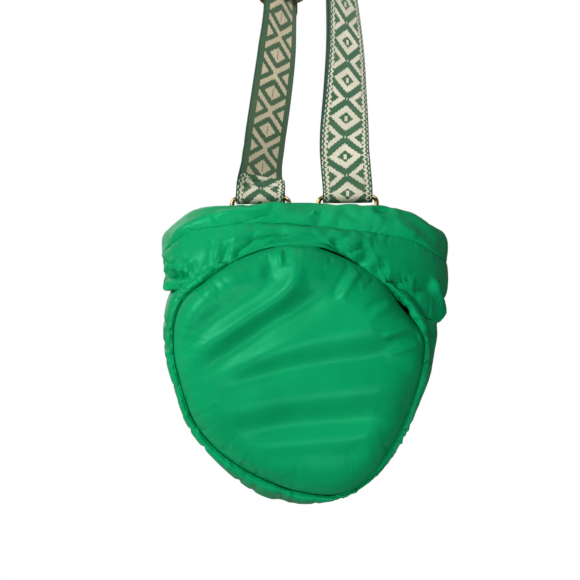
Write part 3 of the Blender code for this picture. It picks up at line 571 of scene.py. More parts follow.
def grid_normals(grid):
    """Outward unit normals of a grid of points."""
    normals = unit(np.cross(np.gradient(grid, axis=1), np.gradient(grid, axis=0)))
    facing = np.sum(normals * (grid - BODY_CENTRE), axis=-1).mean()
    return normals if facing > 0.0 else -normals


def grid_faces(rows, columns, start=0, wrap=False, ring=False):
    """Faces of a grid stored row by row from start.

    wrap joins its last column to its first, and ring its last row to its first.
    """
    faces = []
    for row in range(rows if ring else rows - 1):
        for column in range(columns if wrap else columns - 1):
            right = (column + 1) % columns
            a = start + row * columns
            b = start + (row + 1) % rows * columns
            faces.append((a + column, a + right, b + right, b + column))
    return faces


def closed_faces(rows, columns, wrap=False):
    """Faces of the solid between two grids of the same size, stored one after the other."""
    size = rows * columns
    faces = grid_faces(rows, columns, 0, wrap) + grid_faces(rows, columns, size, wrap)
    edges = []
    for row in (0, rows - 1):
        for column in range(columns if wrap else columns - 1):
            edges.append((row * columns + column, row * columns + (column + 1) % columns))
    if not wrap:
        for row in range(rows - 1):
            for column in (0, columns - 1):
                edges.append((row * columns + column, (row + 1) * columns + column))
    return faces + [(a, b, b + size, a + size) for a, b in edges]


def loft(rings):
    """Closed solid through rings that all have the same number of points."""
    rings = np.asarray(rings, float)
    rows, columns = rings.shape[:2]
    faces = grid_faces(rows, columns, wrap=True)
    faces += [tuple(range(columns)), tuple(range((rows - 1) * columns, rows * columns))]
    return rings.reshape(-1, 3), faces


def joined(solids):
    """Several solids as one list of points and one of faces."""
    points, faces, start = [], [], 0
    for more_points, more_faces in solids:
        points.append(more_points)
        faces += [tuple(start + i for i in face) for face in more_faces]
        start += len(more_points)
    return np.concatenate(points), faces


def add_piece(name, solids, body, material, replaces, sharp=None):
    """Make one visible piece from solids, given as (points, faces), and tie it to the frame."""
    points, faces = joined(solids)
    mesh = bpy.data.meshes.new(name)
    mesh.from_pydata(to_world(points).tolist(), [], faces)
    work = bmesh.new()
    work.from_mesh(mesh)
    bmesh.ops.recalc_face_normals(work, faces=work.faces)
    work.to_mesh(mesh)
    work.free()
    mesh.shade_smooth()
    if sharp is not None:
        mesh.set_sharp_from_angle(angle=math.radians(sharp))
    mesh.materials.append(material)
    made = add_object(name, mesh)
    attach(made, body)
    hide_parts(*replaces)
    return made


# ---- cloth ---------------------------------------------------------------------------------
SIM_SCALE = 0.01
SIM_FRAMES = 16


def puffed(grid, pressure, growth, cap):
    rows, columns = grid.shape[:2]
    points = grid.reshape(-1, 3)
    mesh = bpy.data.meshes.new("puff")
    faces = grid_faces(rows, columns)
    mesh.from_pydata((points * SIM_SCALE).tolist(), [], faces)
    central = mesh.polygons[len(faces) // 2]
    outward = Vector((np.array(central.center) / SIM_SCALE - BODY_CENTRE).tolist())
    if Vector(central.normal).dot(outward) < 0.0:
        mesh.flip_normals()
    cloth = add_object("puff", mesh)
    pins = cloth.vertex_groups.new(name="pins")
    index = np.arange(rows * columns).reshape(rows, columns)
    held = [index[0], index[-1], index[:, 0], index[:, -1]]
    pins.add(np.unique(np.concatenate(held)).tolist(), 1.0, "REPLACE")
    modifier = cloth.modifiers.new("cloth", "CLOTH")
    settings = modifier.settings
    settings.quality = 6
    settings.mass = 0.15
    settings.tension_stiffness = 25.0
    settings.compression_stiffness = 25.0
    settings.shear_stiffness = 12.0
    settings.bending_stiffness = 0.05
    settings.vertex_group_mass = "pins"
    settings.use_pressure = True
    settings.uniform_pressure_force = pressure
    settings.shrink_min = -growth
    settings.effector_weights.gravity = 0.0
    modifier.point_cache.frame_end = SIM_FRAMES
    for step in range(1, SIM_FRAMES + 1):
        bpy.context.scene.frame_set(step)
    result = cloth.evaluated_get(bpy.context.evaluated_depsgraph_get())
    moved = np.empty(len(points) * 3, np.float32)
    result.data.vertices.foreach_get("co", moved)
    moved = moved.reshape(-1, 3) / SIM_SCALE
    bpy.data.objects.remove(cloth, do_unlink=True)
    bpy.context.scene.frame_set(1)
    shift = moved - points
    length = np.linalg.norm(shift, axis=1, keepdims=True)
    shift *= np.minimum(1.0, cap / np.maximum(length, 1e-6))
    return (points + shift).reshape(grid.shape)


# ---- folds ---------------------------------------------------------------------------------
def fold_heights(grid, folds):
    """Height of the folds at each grid point, found from its x and z."""
    place = grid[..., (0, 2)]
    total = np.zeros(place.shape[:-1])
    for height, half_width, lap, line in folds:
        line = spline(line, np.linspace(0.0, len(line) - 1.0, 6 * len(line)))
        best = np.full(total.shape, 1e9)
        side = np.zeros(total.shape)
        part = np.zeros(total.shape)
        for i, (start, end) in enumerate(zip(line[:-1], line[1:])):
            step = end - start
            t = np.clip(((place - start) @ step) / (step @ step), 0.0, 1.0)
            away = place - (start + t[..., None] * step)
            distance = np.linalg.norm(away, axis=-1)
            nearer = distance < best
            best = np.where(nearer, distance, best)
            side = np.where(nearer, np.sign(step[0] * away[..., 1] - step[1] * away[..., 0]), side)
            part = np.where(nearer, (i + t) / (len(line) - 1), part)
        fade = smoothstep(part, -0.05, 0.22) * smoothstep(1.05 - part, 0.0, 0.3)
        profile = np.exp(-(best / half_width) ** 2)
        shoulder = lap * np.exp(-(best / (3.2 * half_width)) ** 2) * np.tanh(side * best / (0.5 * half_width))
        total += fade * height * (profile - np.sign(height) * abs(shoulder) * np.sign(-shoulder))
    return total


def pucker_lift(depth, along, height, reach, pitch, seed):
    """Height of the puckers at a distance depth from a seam, for places along it."""
    phase = np.random.default_rng(seed).uniform(0.0, 2.0 * math.pi, 6)
    ripple = (
        0.55 * np.sin(2.0 * math.pi * along / pitch + phase[0])
        + 0.40 * np.sin(2.0 * math.pi * along / (0.62 * pitch) + phase[1])
        + 0.30 * np.sin(2.0 * math.pi * along / (0.37 * pitch) + phase[2])
    )
    swell = 0.65 + 0.35 * np.sin(2.0 * math.pi * along / (5.3 * pitch) + phase[3])
    fall = np.exp(-depth / reach) * (1.0 - np.exp(-depth / (0.18 * reach)))
    return height * fall * ripple * swell


def gathers(grid, normals, row, height, reach, pitch, seed):
    """Puckers that run in from the seam along the given row (0 or -1) of the grid."""
    order = grid if row == 0 else grid[::-1]
    depth = np.linalg.norm(np.diff(order, axis=0, prepend=order[:1]), axis=-1).cumsum(axis=0)
    along = np.linalg.norm(np.diff(order[0], axis=0, prepend=order[0][:1]), axis=-1).cumsum()
    lift = pucker_lift(depth, along[None, :], height, reach, pitch, seed)
    if row != 0:
        lift = lift[::-1]
    return grid + normals * lift[..., None]


def seam_roll(rows_part, edge):
    """How far a panel has risen from its seams: 0 at each end and 1 inside."""
    return smoothstep(rows_part, 0.0, edge) * smoothstep(1.0 - rows_part, 0.0, edge)


def between_grids(outer, inner, wrap=False):
    """The solid between an outer and an inner grid, as points and faces."""
    points = np.concatenate((outer.reshape(-1, 3), inner.reshape(-1, 3)))
    return points, closed_faces(*outer.shape[:2], wrap)


def padded_solid(name, node, outer, base, fullness, material):
    normals = grid_normals(base)
    wall = WALL_EDGE + (WALL_MIDDLE - WALL_EDGE) * fullness
    solid = between_grids(outer, base - normals * wall[..., None])
    piece = add_piece(name, [solid], "bag", material, [node], sharp=75.0)


def front_weight(grid):
    """1 on the bag's front and 0 behind its middle, where the front's folds fade out."""
    return smoothstep(-grid[..., 1], -6.0, 12.0)


# ---- face and back panels --------------------------------------------------------------------
def panel_grid(flat_y, outward, crown, flat_from, count):
    """Panel from its seam to its crowned middle, as a square grid bent to the outline."""
    u, v = np.meshgrid(np.linspace(-1.0, 1.0, count), np.linspace(-1.0, 1.0, count))
    share = np.maximum(np.abs(u), np.abs(v))
    sideways = np.abs(u) > np.abs(v)
    safe = np.where(share > 0.0, share, 1.0)
    eighth = np.where(sideways, v * np.sign(u), -u * np.sign(v)) / safe
    quarter = np.where(sideways, np.where(u > 0.0, 0.0, 2.0), np.where(v > 0.0, 1.0, 3.0))
    turn = 0.25 * (quarter + 0.5 * eighth)
    outline = spline(FACE_OUTLINE, np.linspace(0.0, len(FACE_OUTLINE), 800, endpoint=False), closed=True)
    lengths = np.linalg.norm(np.roll(outline, -1, axis=0) - outline, axis=1).cumsum()
    target = (turn % 1.0) * lengths[-1]
    edge = np.stack([np.interp(target, lengths, outline[:, i], period=lengths[-1]) for i in (0, 1)], axis=-1)
    middle = np.array((1.0, -29.0))
    share = 1.0 - (1.0 - share) ** 1.15
    flat = middle + (edge - middle) * share[..., None]
    inset = (1.0 - share) * np.linalg.norm(edge - middle, axis=-1)
    shoulder = np.clip(1.0 - inset / flat_from, 0.0, 1.0) ** 2.4
    rise = PANEL_RIM * smoothstep(inset, -0.2, 1.8) + crown * (1.0 - shoulder)
    grid = np.stack((flat[..., 0], flat_y + outward * rise, flat[..., 1]), axis=-1)
    return grid, inset, target


def panel_solid(name, node, outer, flat_y, material):
    back = outer.copy()
    back[..., 1] = flat_y
    solid = between_grids(outer, back)
    piece = add_piece(name, [solid], "bag", material, [node], sharp=75.0)


def make_panels(material):
    """Face and back panels: puffed, folded, and puckered from the seam, most on the left."""
    for name, flat_y, outward, crown, flat_from, count, cap, folded in PANELS:
        grid, inset, along = panel_grid(flat_y, outward, crown, flat_from, count)
        outer = puffed(grid, pressure=0.8, growth=0.006, cap=cap)
        heights = folded * fold_heights(outer, FACE_FOLDS)
        gathered = 0.25 + 0.75 * smoothstep(-outer[..., 0], -12.0, 32.0)
        heights += gathered * pucker_lift(inset, along, 0.9, 4.5, 6.1, 51)
        outer[..., 1] += outward * heights * smoothstep(inset, 0.0, 3.0)
        panel_solid(f"{name}_cloth", f"{name}_panel", outer, flat_y, material)


# ---- collar --------------------------------------------------------------------------------
def signed_power(value, power):
    """A power of the value's size, with the value's sign."""
    return np.copysign(np.abs(value) ** power, value)


def plan(half_width, front_y, back_y, square, angle):
    """Squarish loop seen from above; angle 0 is the front and 90 the right side."""
    depth = signed_power(np.cos(angle), square)
    reach = np.where(depth > 0.0, BODY_MIDDLE_Y - front_y, back_y - BODY_MIDDLE_Y)
    return half_width * signed_power(np.sin(angle), square), BODY_MIDDLE_Y - reach * depth


def collar_rail(rail, angle):
    """Points of one collar rail at the given angles round the bag."""
    left, right, front_y, back_y, square, heights = rail
    half_width = np.where(np.sin(angle) < 0.0, left, right)
    x, y = plan(half_width, front_y, back_y, square, angle)
    step = 0.5 * (len(heights) - 1)
    z = spline(np.array(heights)[:, None], step * (1.0 + x / half_width))[:, 0]
    return np.stack((x, y, z), axis=-1)


def lower_edge(angle):
    """Collar's lower edge: over the top of the face, then level to the side notch."""
    x, y = plan(NOTCH_HALF_WIDTH, SEAM_FRONT_Y, SEAM_BACK_Y, LOWER_EDGE_SQUARE, angle)
    drop, notch_z, slope = [
        np.where(x < 0.0, a, b) for a, b in zip(LOWER_EDGE_LEFT, LOWER_EDGE_RIGHT)
    ]
    level = notch_z + (NOTCH_HALF_WIDTH - np.abs(x)) * slope
    arch = PANEL_TOP_Z - drop * x * x
    z = 0.5 * (arch + level + np.sqrt((arch - level) ** 2 + 3.0))
    return np.stack((x, y, z + GAP), axis=-1)


def through_three(low, middle, high, part):
    """Rows of a parabola from low through middle to high, as part goes from 0 to 1."""
    part = part[:, None, None]
    return (
        (1.0 - part) * (1.0 - 2.0 * part) * low
        + 4.0 * part * (1.0 - part) * middle
        + part * (2.0 * part - 1.0) * high
    )


def fuller(part):
    """Spread a band's rows so that its roll turns in tightly at both seams."""
    return 0.5 - 0.5 * np.cos(math.pi * part)


def make_collar(material):
    """Two padded bands over the face and two behind, each gathered at its seams."""
    columns = 210
    for side, middle in (("front", 0.0), ("back", 180.0)):
        angle = np.radians(np.linspace(middle - 89.985, middle + 89.985, columns))
        bands = {
            "lower": (lower_edge(angle), collar_rail(RAIL_BULGE_LOWER, angle),
                      collar_rail(RAIL_BAND_SEAM, angle), (0.0, 0.996), 30, COLLAR_LOWER_FOLDS),
            "upper": (collar_rail(RAIL_BAND_SEAM, angle), collar_rail(RAIL_BULGE_UPPER, angle),
                      collar_rail(RAIL_ZIP_EDGE, angle), (0.004, 1.0), 32, COLLAR_UPPER_FOLDS),
        }
        for level, (low, full, high, (start, end), rows, folds) in bands.items():
            part = np.linspace(0.0, 1.0, rows)
            base = through_three(low, full, high, start + (end - start) * fuller(part))
            roll = seam_roll(part, 0.4)[:, None] * np.ones(columns)
            outer = puffed(base, pressure=2.6, growth=0.025, cap=1.8)
            normals = grid_normals(base)
            seed = 11 if side == "front" else 21
            if level == "lower":
                outer = gathers(outer, normals, 0, 1.9, 3.6, 4.4, seed)
                outer = gathers(outer, normals, -1, 0.4, 3.0, 7.5, seed + 1)
            else:
                outer = gathers(outer, normals, 0, 0.4, 4.0, 11.0, seed + 2)
                outer = gathers(outer, normals, -1, 0.5, 5.0, 6.0, seed + 3)
            heights = COLLAR_FOLD_GAIN * fold_heights(outer, folds)
            weight = front_weight(outer) if side == "front" else 0.6 * front_weight(-outer)
            outer = outer + normals * (heights * weight * smoothstep(roll, 0.0, 0.35))[..., None]
            node = f"collar_{side}_{level}"
            padded_solid(f"{node}_cloth", node, outer, base, roll, material)


# ---- side strip ------------------------------------------------------------------------------
def edge_roll(part):
    """How far the strip's edge swells past its seam, so that the seam lies in a groove."""
    return EDGE_ROLL * (1.0 - np.exp(-part / 0.012)) * np.exp(-part / 0.05)


def make_strips(material):
    """Two padded strips round the lower body, joined at the bottom."""
    seam_points = [FACE_OUTLINE[STRIP_FIRST + i] for i in range(len(STRIP_FULL))]
    seam_points[1] = (44.0, -5.0)
    last = len(STRIP_FULL) - 1.0
    spans = {"right": (0.0, STRIP_JOIN), "left": (STRIP_JOIN + 0.008, last)}
    for side, (start, end) in spans.items():
        columns, rows = 160, 60
        station = np.linspace(start, end, columns)
        part = 0.002 + 0.996 * fuller(np.linspace(0.0, 1.0, rows))
        seam, full = spline(seam_points, station), spline(STRIP_FULL, station)
        bulge = (1.0 - np.abs(2.0 * part - 1.0) ** 4)[:, None, None]
        flat = seam[None] + (full - seam)[None] * bulge
        depth = SEAM_FRONT_Y + (SEAM_BACK_Y - SEAM_FRONT_Y) * part - edge_roll(part) + edge_roll(1.0 - part)
        depth = depth[:, None] * np.ones(columns)
        base = np.stack((flat[..., 0], depth, flat[..., 1]), axis=-1)
        normals = grid_normals(base)
        outer = puffed(base, pressure=2.0, growth=0.025, cap=1.5)
        seed = 31 if side == "left" else 41
        outer = gathers(outer, normals, 0, 0.9, 4.0, 5.5, seed)
        outer = gathers(outer, normals, -1, 0.9, 5.0, 6.0, seed + 1)
        heights = fold_heights(outer, STRIP_FOLDS) * front_weight(outer)
        outer = outer + normals * heights[..., None]
        from_end = np.minimum(station - start, end - station)
        outer = base + (outer - base) * smoothstep(from_end, 0.0, 0.25)[None, :, None]
        roll = seam_roll(part, 0.3)[:, None] * seam_roll(np.linspace(0.0, 1.0, columns), 0.1)[None]
        padded_solid(f"side_strip_{side}_cloth", f"side_strip_{side}", outer, base, roll, material)


# ---- strap -----------------------------------------------------------------------------------
def webbing_directions(turn_degrees, along):
    """Directions across the webbing and out of its patterned face, where it runs along."""
    turn = math.radians(turn_degrees)
    across = np.array((math.cos(turn), math.sin(turn), 0.0))
    across = across - along * (across @ along)
    across /= np.linalg.norm(across)
    return across, np.cross(along, across)


def run_frames(run, upwards, low_z, high_z, spacing):
    """Centre line and directions along one run of the strap, in travel order."""
    count = max(int((high_z - low_z) / spacing), 2)
    levels = np.array([level for level, _, _ in run], float)
    values = [(x, turn) for _, x, turn in run]

    def at(z):
        index = min(max(int(np.searchsorted(levels, z, side="right")) - 1, 0), len(levels) - 2)
        part = (z - levels[index]) / (levels[index + 1] - levels[index])
        x, turn = spline(values, index + part)
        return np.array((x, STRAP_Y, z)), turn

    frames = []
    for z in np.linspace(low_z, high_z, count + 1):
        point, turn = at(z)
        along = at(min(z + 0.5, high_z))[0] - at(max(z - 0.5, low_z))[0]
        along /= np.linalg.norm(along)
        frames.append((point, *webbing_directions(turn, along if upwards else -along)))
    return frames if upwards else frames[::-1]


def crown_frames():
    """Centre line and directions over the strap's crown, from left to right."""
    centre = np.array((0.0, STRAP_Y, CROWN_Z - CROWN_RADIUS))
    frames = []
    for turn in np.radians(np.linspace(174.0, 6.0, 29)):
        outward = np.array((math.cos(turn), 0.0, math.sin(turn)))
        frames.append((centre + outward * CROWN_RADIUS, np.array((0.0, 1.0, 0.0)), outward))
    return frames


def bar_loop(centre, radius, above):
    """Webbing round the underside of a ring's upper wire, entering at the front."""
    across = np.array((1.0, 0.0, 0.0))
    frames = [(centre + np.array((0.0, -0.9 * radius, above)), across, np.array((0.0, -1.0, 0.0)))]
    for turn in np.radians(np.linspace(0.0, 180.0, 17)):
        outward = np.array((0.0, -math.cos(turn), -math.sin(turn)))
        frames.append((centre + outward * radius, across, outward))
    frames.append((centre + np.array((0.0, 0.9 * radius, above)), across, np.array((0.0, 1.0, 0.0))))
    return frames


def offset(frames, distance):
    """The same frames moved out of the patterned face."""
    return [(point + out * distance, across, out) for point, across, out in frames]


def turned_over(frames):
    """The layer behind these frames, with its patterned face the other way."""
    return [(point, across, -out) for point, across, out in offset(frames, -LAYER_OFFSET)]


def lengths_along(frames):
    """Distance of each frame from the first, along the webbing."""
    centres = np.array([point for point, _, _ in frames])
    return np.linalg.norm(np.diff(centres, axis=0, prepend=centres[:1]), axis=1).cumsum()


def webbing(name, frames, body, materials, replaces, along):
    """Woven ribbon along frames, with soft selvedges; along places its pattern at each frame."""
    centres = np.array([point for point, _, _ in frames])
    across = np.array([direction for _, direction, _ in frames])
    out = np.array([direction for _, _, direction in frames])
    section = np.array(WEB_SECTION)
    grid = (
        centres[:, None]
        + across[:, None] * section[None, :, :1]
        + out[:, None] * section[None, :, 1:]
    )
    columns = len(section)
    piece = add_piece(name, [loft(grid)], body, materials[0], replaces, sharp=60.0)
    mesh = piece.data
    mesh.materials.append(materials[1])
    layer = mesh.uv_layers.new(name="webbing")
    owner = np.empty(len(mesh.loops), np.int32)
    mesh.loops.foreach_get("vertex_index", owner)
    uv = np.column_stack((section[owner % columns, 0], along[owner // columns]))
    layer.data.foreach_set("uv", uv.astype(np.float32).ravel())
    for polygon in mesh.polygons:
        rims = [section[mesh.loops[i].vertex_index % columns][1] for i in polygon.loop_indices]
        polygon.material_index = 1 if sum(rims) < 0.0 else 0
    return piece


def stitch_row(start, end, out, length=1.9, pitch=2.7, radius=0.2):
    """Machine stitches from start to end on a surface that faces out."""
    start, end, out = [np.asarray(v, float) for v in (start, end, out)]
    span = np.linalg.norm(end - start)
    step = (end - start) / span
    solids = []
    for i in range(int(span / pitch)):
        middle = start + step * (i + 0.5) * pitch
        path = [middle + step * length * t + out * radius * (0.9 - 6.0 * t * t) for t in STITCH_PLACES]
        solids.append(tube(path, radius, 6, closed=False, up=out))
    return solids


def stitches_over(frames, heights, distance):
    """Rows of stitches across the strap where its frames pass the given heights."""
    solids = []
    for height in heights:
        point, across, out = min(frames, key=lambda f: abs(f[0][2] - height))
        middle = point + out * distance
        reach = across * STITCH_HALF_SPAN
        solids += stitch_row(middle - reach, middle + reach, out)
    return solids


def make_strap(materials, thread):
    """The strap's one long webbing, its pattern held at a diamond on each run, and its seams."""
    radius = RING_WIRE + GAP + 0.5 * WEBBING_THICKNESS
    left_low, right_low, top = LEFT_RUN[0][0], RIGHT_RUN[0][0], CROWN_Z - CROWN_RADIUS
    hem = turned_over(run_frames(LEFT_RUN, True, left_low, HEM_TOP_Z, 1.5)[::-1])
    left = run_frames(LEFT_RUN, True, left_low, top, 2.5)
    right = run_frames(RIGHT_RUN, False, right_low, top, 2.5)
    left_loop = bar_loop(np.array((-RING_X, STRAP_Y, RING_TOP_Z)), radius, 1.8)
    right_loop = bar_loop(np.array((RING_X, STRAP_Y, RING_TOP_Z)), radius, 1.8)
    over = left + crown_frames() + right
    back_over = over[::-1]
    kept = [f for f in back_over if f[0][0] > 0.0 or f[0][2] >= RETURN_FIXED_Z]
    route = hem + left_loop + offset(over, LAYER_OFFSET) + right_loop + turned_over(kept)
    along = lengths_along(route)
    first = len(hem) + len(left_loop)
    heights = np.array([point[2] for point, _, _ in route])
    rise = slice(first, first + len(left))
    fall = slice(first + len(over) - len(right), first + len(over))
    left_mark = np.interp(DIAMOND_LEFT_Z, heights[rise], along[rise])
    right_mark = np.interp(DIAMOND_RIGHT_Z, heights[fall][::-1], along[fall][::-1])
    repeats = round((right_mark - left_mark) / REPEAT)
    along = (along - left_mark) * repeats * REPEAT / (right_mark - left_mark)
    webbing("strap_web", route, "strap", materials, ["strap_webbing"], along)
    bar, across, out = make_return_layer(materials)

    face = LAYER_OFFSET + 0.5 * WEBBING_THICKNESS
    behind = [(point, across, -out) for point, across, out in left]
    seams = stitches_over(left, RING_SEAMS_Z + RETURN_SEAMS_Z, face)
    seams += stitches_over(behind, RING_SEAMS_Z, face)
    add_piece("strap_stitches", seams, "strap", thread, [])

    tail = bar - out * (HEM_BAR_RADIUS + 0.5 * WEBBING_THICKNESS)
    reach = across * STITCH_HALF_SPAN
    seams = []
    for lift in HEM_SEAMS_UP:
        seams += stitch_row(tail - reach + UP * lift, tail + reach + UP * lift, -out)
    add_piece("return_hem_stitches", seams, "adjuster", thread, [])


def make_return_layer(materials):
    """Second layer above the slide, which shortens as the slide rises, and its hem round the bar.

    Gives the bar's middle and the webbing's directions across and out there.
    """
    across, out = webbing_directions(ADJUSTER_TURN, UP)
    line = np.array((STRAIGHT_RUN_X, STRAP_Y, 0.0)) - out * LAYER_OFFSET
    low, high = ADJUSTER_Z + RETURN_HEM_HEIGHT + 0.5, RETURN_FIXED_Z - 4.0
    frames = [(line + UP * z, across, out) for z in np.linspace(low, high, 24)]
    layer = webbing("strap_return_web", frames, "strap", materials, ["strap_return"], lengths_along(frames))
    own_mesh(layer)

    bar = line - out * HEM_BAR_RADIUS + UP * ADJUSTER_Z
    frames = [(line + UP * (ADJUSTER_Z + RETURN_HEM_HEIGHT), across, out)]
    for turn in np.radians(np.linspace(0.0, 180.0, 15)):
        outward = out * math.cos(turn) - UP * math.sin(turn)
        frames.append((bar + outward * HEM_BAR_RADIUS, across, outward))
    frames.append((bar - out * HEM_BAR_RADIUS + UP * RETURN_HEM_HEIGHT, across, -out))
    along = lengths_along(frames)
    webbing("strap_return_hem_web", frames, "adjuster", materials, ["strap_return_hem"], along)
    return bar, across, out


# ---- metal -----------------------------------------------------------------------------------
def tube(path, radius, sides=12, closed=True, up=(0.0, 1.0, 0.0)):
    """Round wire along a path that never runs along up, as points and faces."""
    path = np.asarray(path, float)
    count = len(path)
    if closed:
        along = unit(np.roll(path, -1, axis=0) - np.roll(path, 1, axis=0))
    else:
        along = unit(np.gradient(path, axis=0))
    side = unit(np.cross(along, up))
    other = np.cross(along, side)
    turn = np.linspace(0.0, 2.0 * math.pi, sides, endpoint=False)
    grid = path[:, None] + radius * (
        side[:, None] * np.cos(turn)[None, :, None] + other[:, None] * np.sin(turn)[None, :, None]
    )
    faces = grid_faces(count, sides, wrap=True, ring=closed)
    if not closed:
        last = (count - 1) * sides
        faces += [tuple(range(sides)), tuple(range(last, last + sides))]
    return grid.reshape(-1, 3), faces


def rounded_rectangle(half_width, half_height, corner, steps=8):
    """Points of a rounded rectangle, anticlockwise from the right."""
    loop = []
    for quarter, (sign_x, sign_z) in enumerate(((1, 1), (-1, 1), (-1, -1), (1, -1))):
        for step in range(steps + 1):
            turn = math.radians(90.0 * (quarter + step / steps))
            loop.append((
                sign_x * (half_width - corner) + corner * math.cos(turn),
                sign_z * (half_height - corner) + corner * math.sin(turn),
            ))
    return np.array(loop)


def make_rings(metal):
    """Two rounded wire rings, one on each side."""
    half_height = 0.5 * (RING_TOP_Z - RING_BOTTOM_Z)
    loop = rounded_rectangle(RING_HALF_WIDTH, half_height, RING_CORNER)
    for side, x in (("left", -RING_X), ("right", RING_X)):
        heights = loop[:, 1] + RING_BOTTOM_Z + half_height
        path = np.column_stack((loop[:, 0] + x, np.full(len(loop), STRAP_Y), heights))
        wire = tube(path, RING_WIRE - 0.15, 14)
        add_piece(f"ring_{side}_wire", [wire], "rings", metal, [f"strap_ring_{side}"])


def softened(node, body, material, width):
    """A cast metal part: the CAD node's shape with rounded edges."""
    work = bmesh.new()
    work.from_mesh(frame["nodes"][node].data)
    bmesh.ops.remove_doubles(work, verts=work.verts, dist=0.001 * MM)
    bmesh.ops.dissolve_limit(work, angle_limit=math.radians(2.0), verts=work.verts, edges=work.edges)
    sharp = [edge for edge in work.edges if edge.is_manifold and edge.calc_face_angle() > math.radians(20.0)]
    bmesh.ops.bevel(
        work, geom=sharp, offset=width * MM, segments=3, profile=0.5, affect="EDGES", clamp_overlap=True
    )
    points = (np.array([vert.co for vert in work.verts]) - DATUM) / MM
    faces = [tuple(vert.index for vert in face.verts) for face in work.faces]
    work.free()
    add_piece(f"{node}_cast", [(points, faces)], body, material, [node], sharp=50.0)


def rounded_bar(x_ends, y_ends, z_ends, edge, stations=3, wave=0.0):
    """Bar along x with rounded edges and ends, and an optional gentle wave."""
    half_y, half_z = 0.5 * (y_ends[1] - y_ends[0]), 0.5 * (z_ends[1] - z_ends[0])
    middle_y, middle_z = 0.5 * (y_ends[0] + y_ends[1]), 0.5 * (z_ends[0] + z_ends[1])
    turns = np.radians(np.linspace(90.0, 0.0, 4))
    low, high = min(x_ends), max(x_ends)
    places = [(low + edge * (1.0 - math.sin(t)), edge * (1.0 - math.cos(t))) for t in turns]
    places += [(x, 0.0) for x in np.linspace(low + edge, high - edge, stations + 2)[1:-1]]
    places += [(low + high - x, inset) for x, inset in places[3::-1]]
    rings = []
    for x, inset in places:
        loop = rounded_rectangle(half_y - inset, half_z - inset, max(edge - inset, 0.3 * edge), 4)
        lift = wave * math.sin(x / 2.9) * math.sin(x / 7.7 + 0.6)
        heights = middle_z + lift + loop[:, 1]
        rings.append(np.column_stack((np.full(len(loop), x), middle_y + loop[:, 0], heights)))
    return loft(rings)


def tooth(x, root_y, tip_y):
    """One zip tooth: a narrow neck and a rounder head."""
    reach = tip_y - root_y
    outline = np.array([
        (-0.55, 0.0), (-0.55, 0.35), (-0.45, 0.55), (-0.72, 0.72), (-0.72, 0.92), (-0.4, 1.0),
        (0.4, 1.0), (0.72, 0.92), (0.72, 0.72), (0.45, 0.55), (0.55, 0.35), (0.55, 0.0),
    ])
    middle = np.array((0.0, 0.5))
    rings = []
    for z, size in ((-0.9, 0.72), (-0.65, 0.95), (-0.3, 1.0), (0.7, 1.0), (1.05, 0.95), (1.3, 0.72)):
        loop = middle + (outline - middle) * size
        level = np.full(len(loop), ZIP_Z + z)
        rings.append(np.column_stack((x + loop[:, 0], root_y + reach * loop[:, 1], level)))
    return loft(rings)


def make_zip(tape, metal):
    """Closed zip: two rows of teeth on stitched tapes, its end tabs, and the cast pieces."""
    half = ZIP_HALF_LENGTH
    for side, sign in (("front", -1.0), ("back", 1.0)):
        root, tip, far_y = ZIP_Y + sign * TEETH_ROOT, ZIP_Y + sign * TEETH_TIP, TAPE_EDGE_Y[side]
        teeth = [tooth(x, root, tip) for x in np.arange(FIRST_TOOTH_X, 45.0, TOOTH_PITCH)]
        cord = [
            (x, root - sign * 0.1, ZIP_Z + 0.15 * math.sin(x * 2.1))
            for x in np.linspace(-TEETH_HALF_LENGTH, TEETH_HALF_LENGTH, 160)
        ]
        teeth.append(tube(cord, 0.5, 8, closed=False))
        node = f"zip_teeth_{side}"
        add_piece(f"{node}_row", teeth, "bag", metal, [node], sharp=50.0)

        near_y = root + sign * GAP
        z_ends = (ZIP_Z - TAPE_HALF_THICKNESS, ZIP_Z + TAPE_HALF_THICKNESS)
        solids = [rounded_bar((-half, half), sorted((near_y, far_y)), z_ends, 0.25, 90, 0.08)]
        for edge_y in (near_y + sign * 0.9, far_y - sign * 1.1):
            ends = [(x, edge_y, ZIP_Z + 0.33) for x in (-half + 2.0, half - 2.0)]
            solids += stitch_row(*ends, UP)
        node = f"zip_tape_{side}"
        add_piece(f"{node}_cloth", solids, "bag", tape, [node], sharp=60.0)

    for side, sign in (("left", -1.0), ("right", 1.0)):
        ends = (sign * (half + GAP), sign * (half + GAP + END_TAB_LENGTH))
        solids = [rounded_bar(ends, END_TAB_Y, (ZIP_Z - 1.0, ZIP_Z + 0.2), 0.45)]
        place = 0.5 * (ends[0] + ends[1])
        solids += stitch_row((place, -8.6, ZIP_Z + 0.22), (place, 5.2, ZIP_Z + 0.22), UP)
        node = f"zip_end_tab_{side}"
        add_piece(f"{node}_cloth", solids, "bag", tape, [node], sharp=60.0)

    for node, body, width in CAST_PIECES:
        softened(node, body, metal, width)


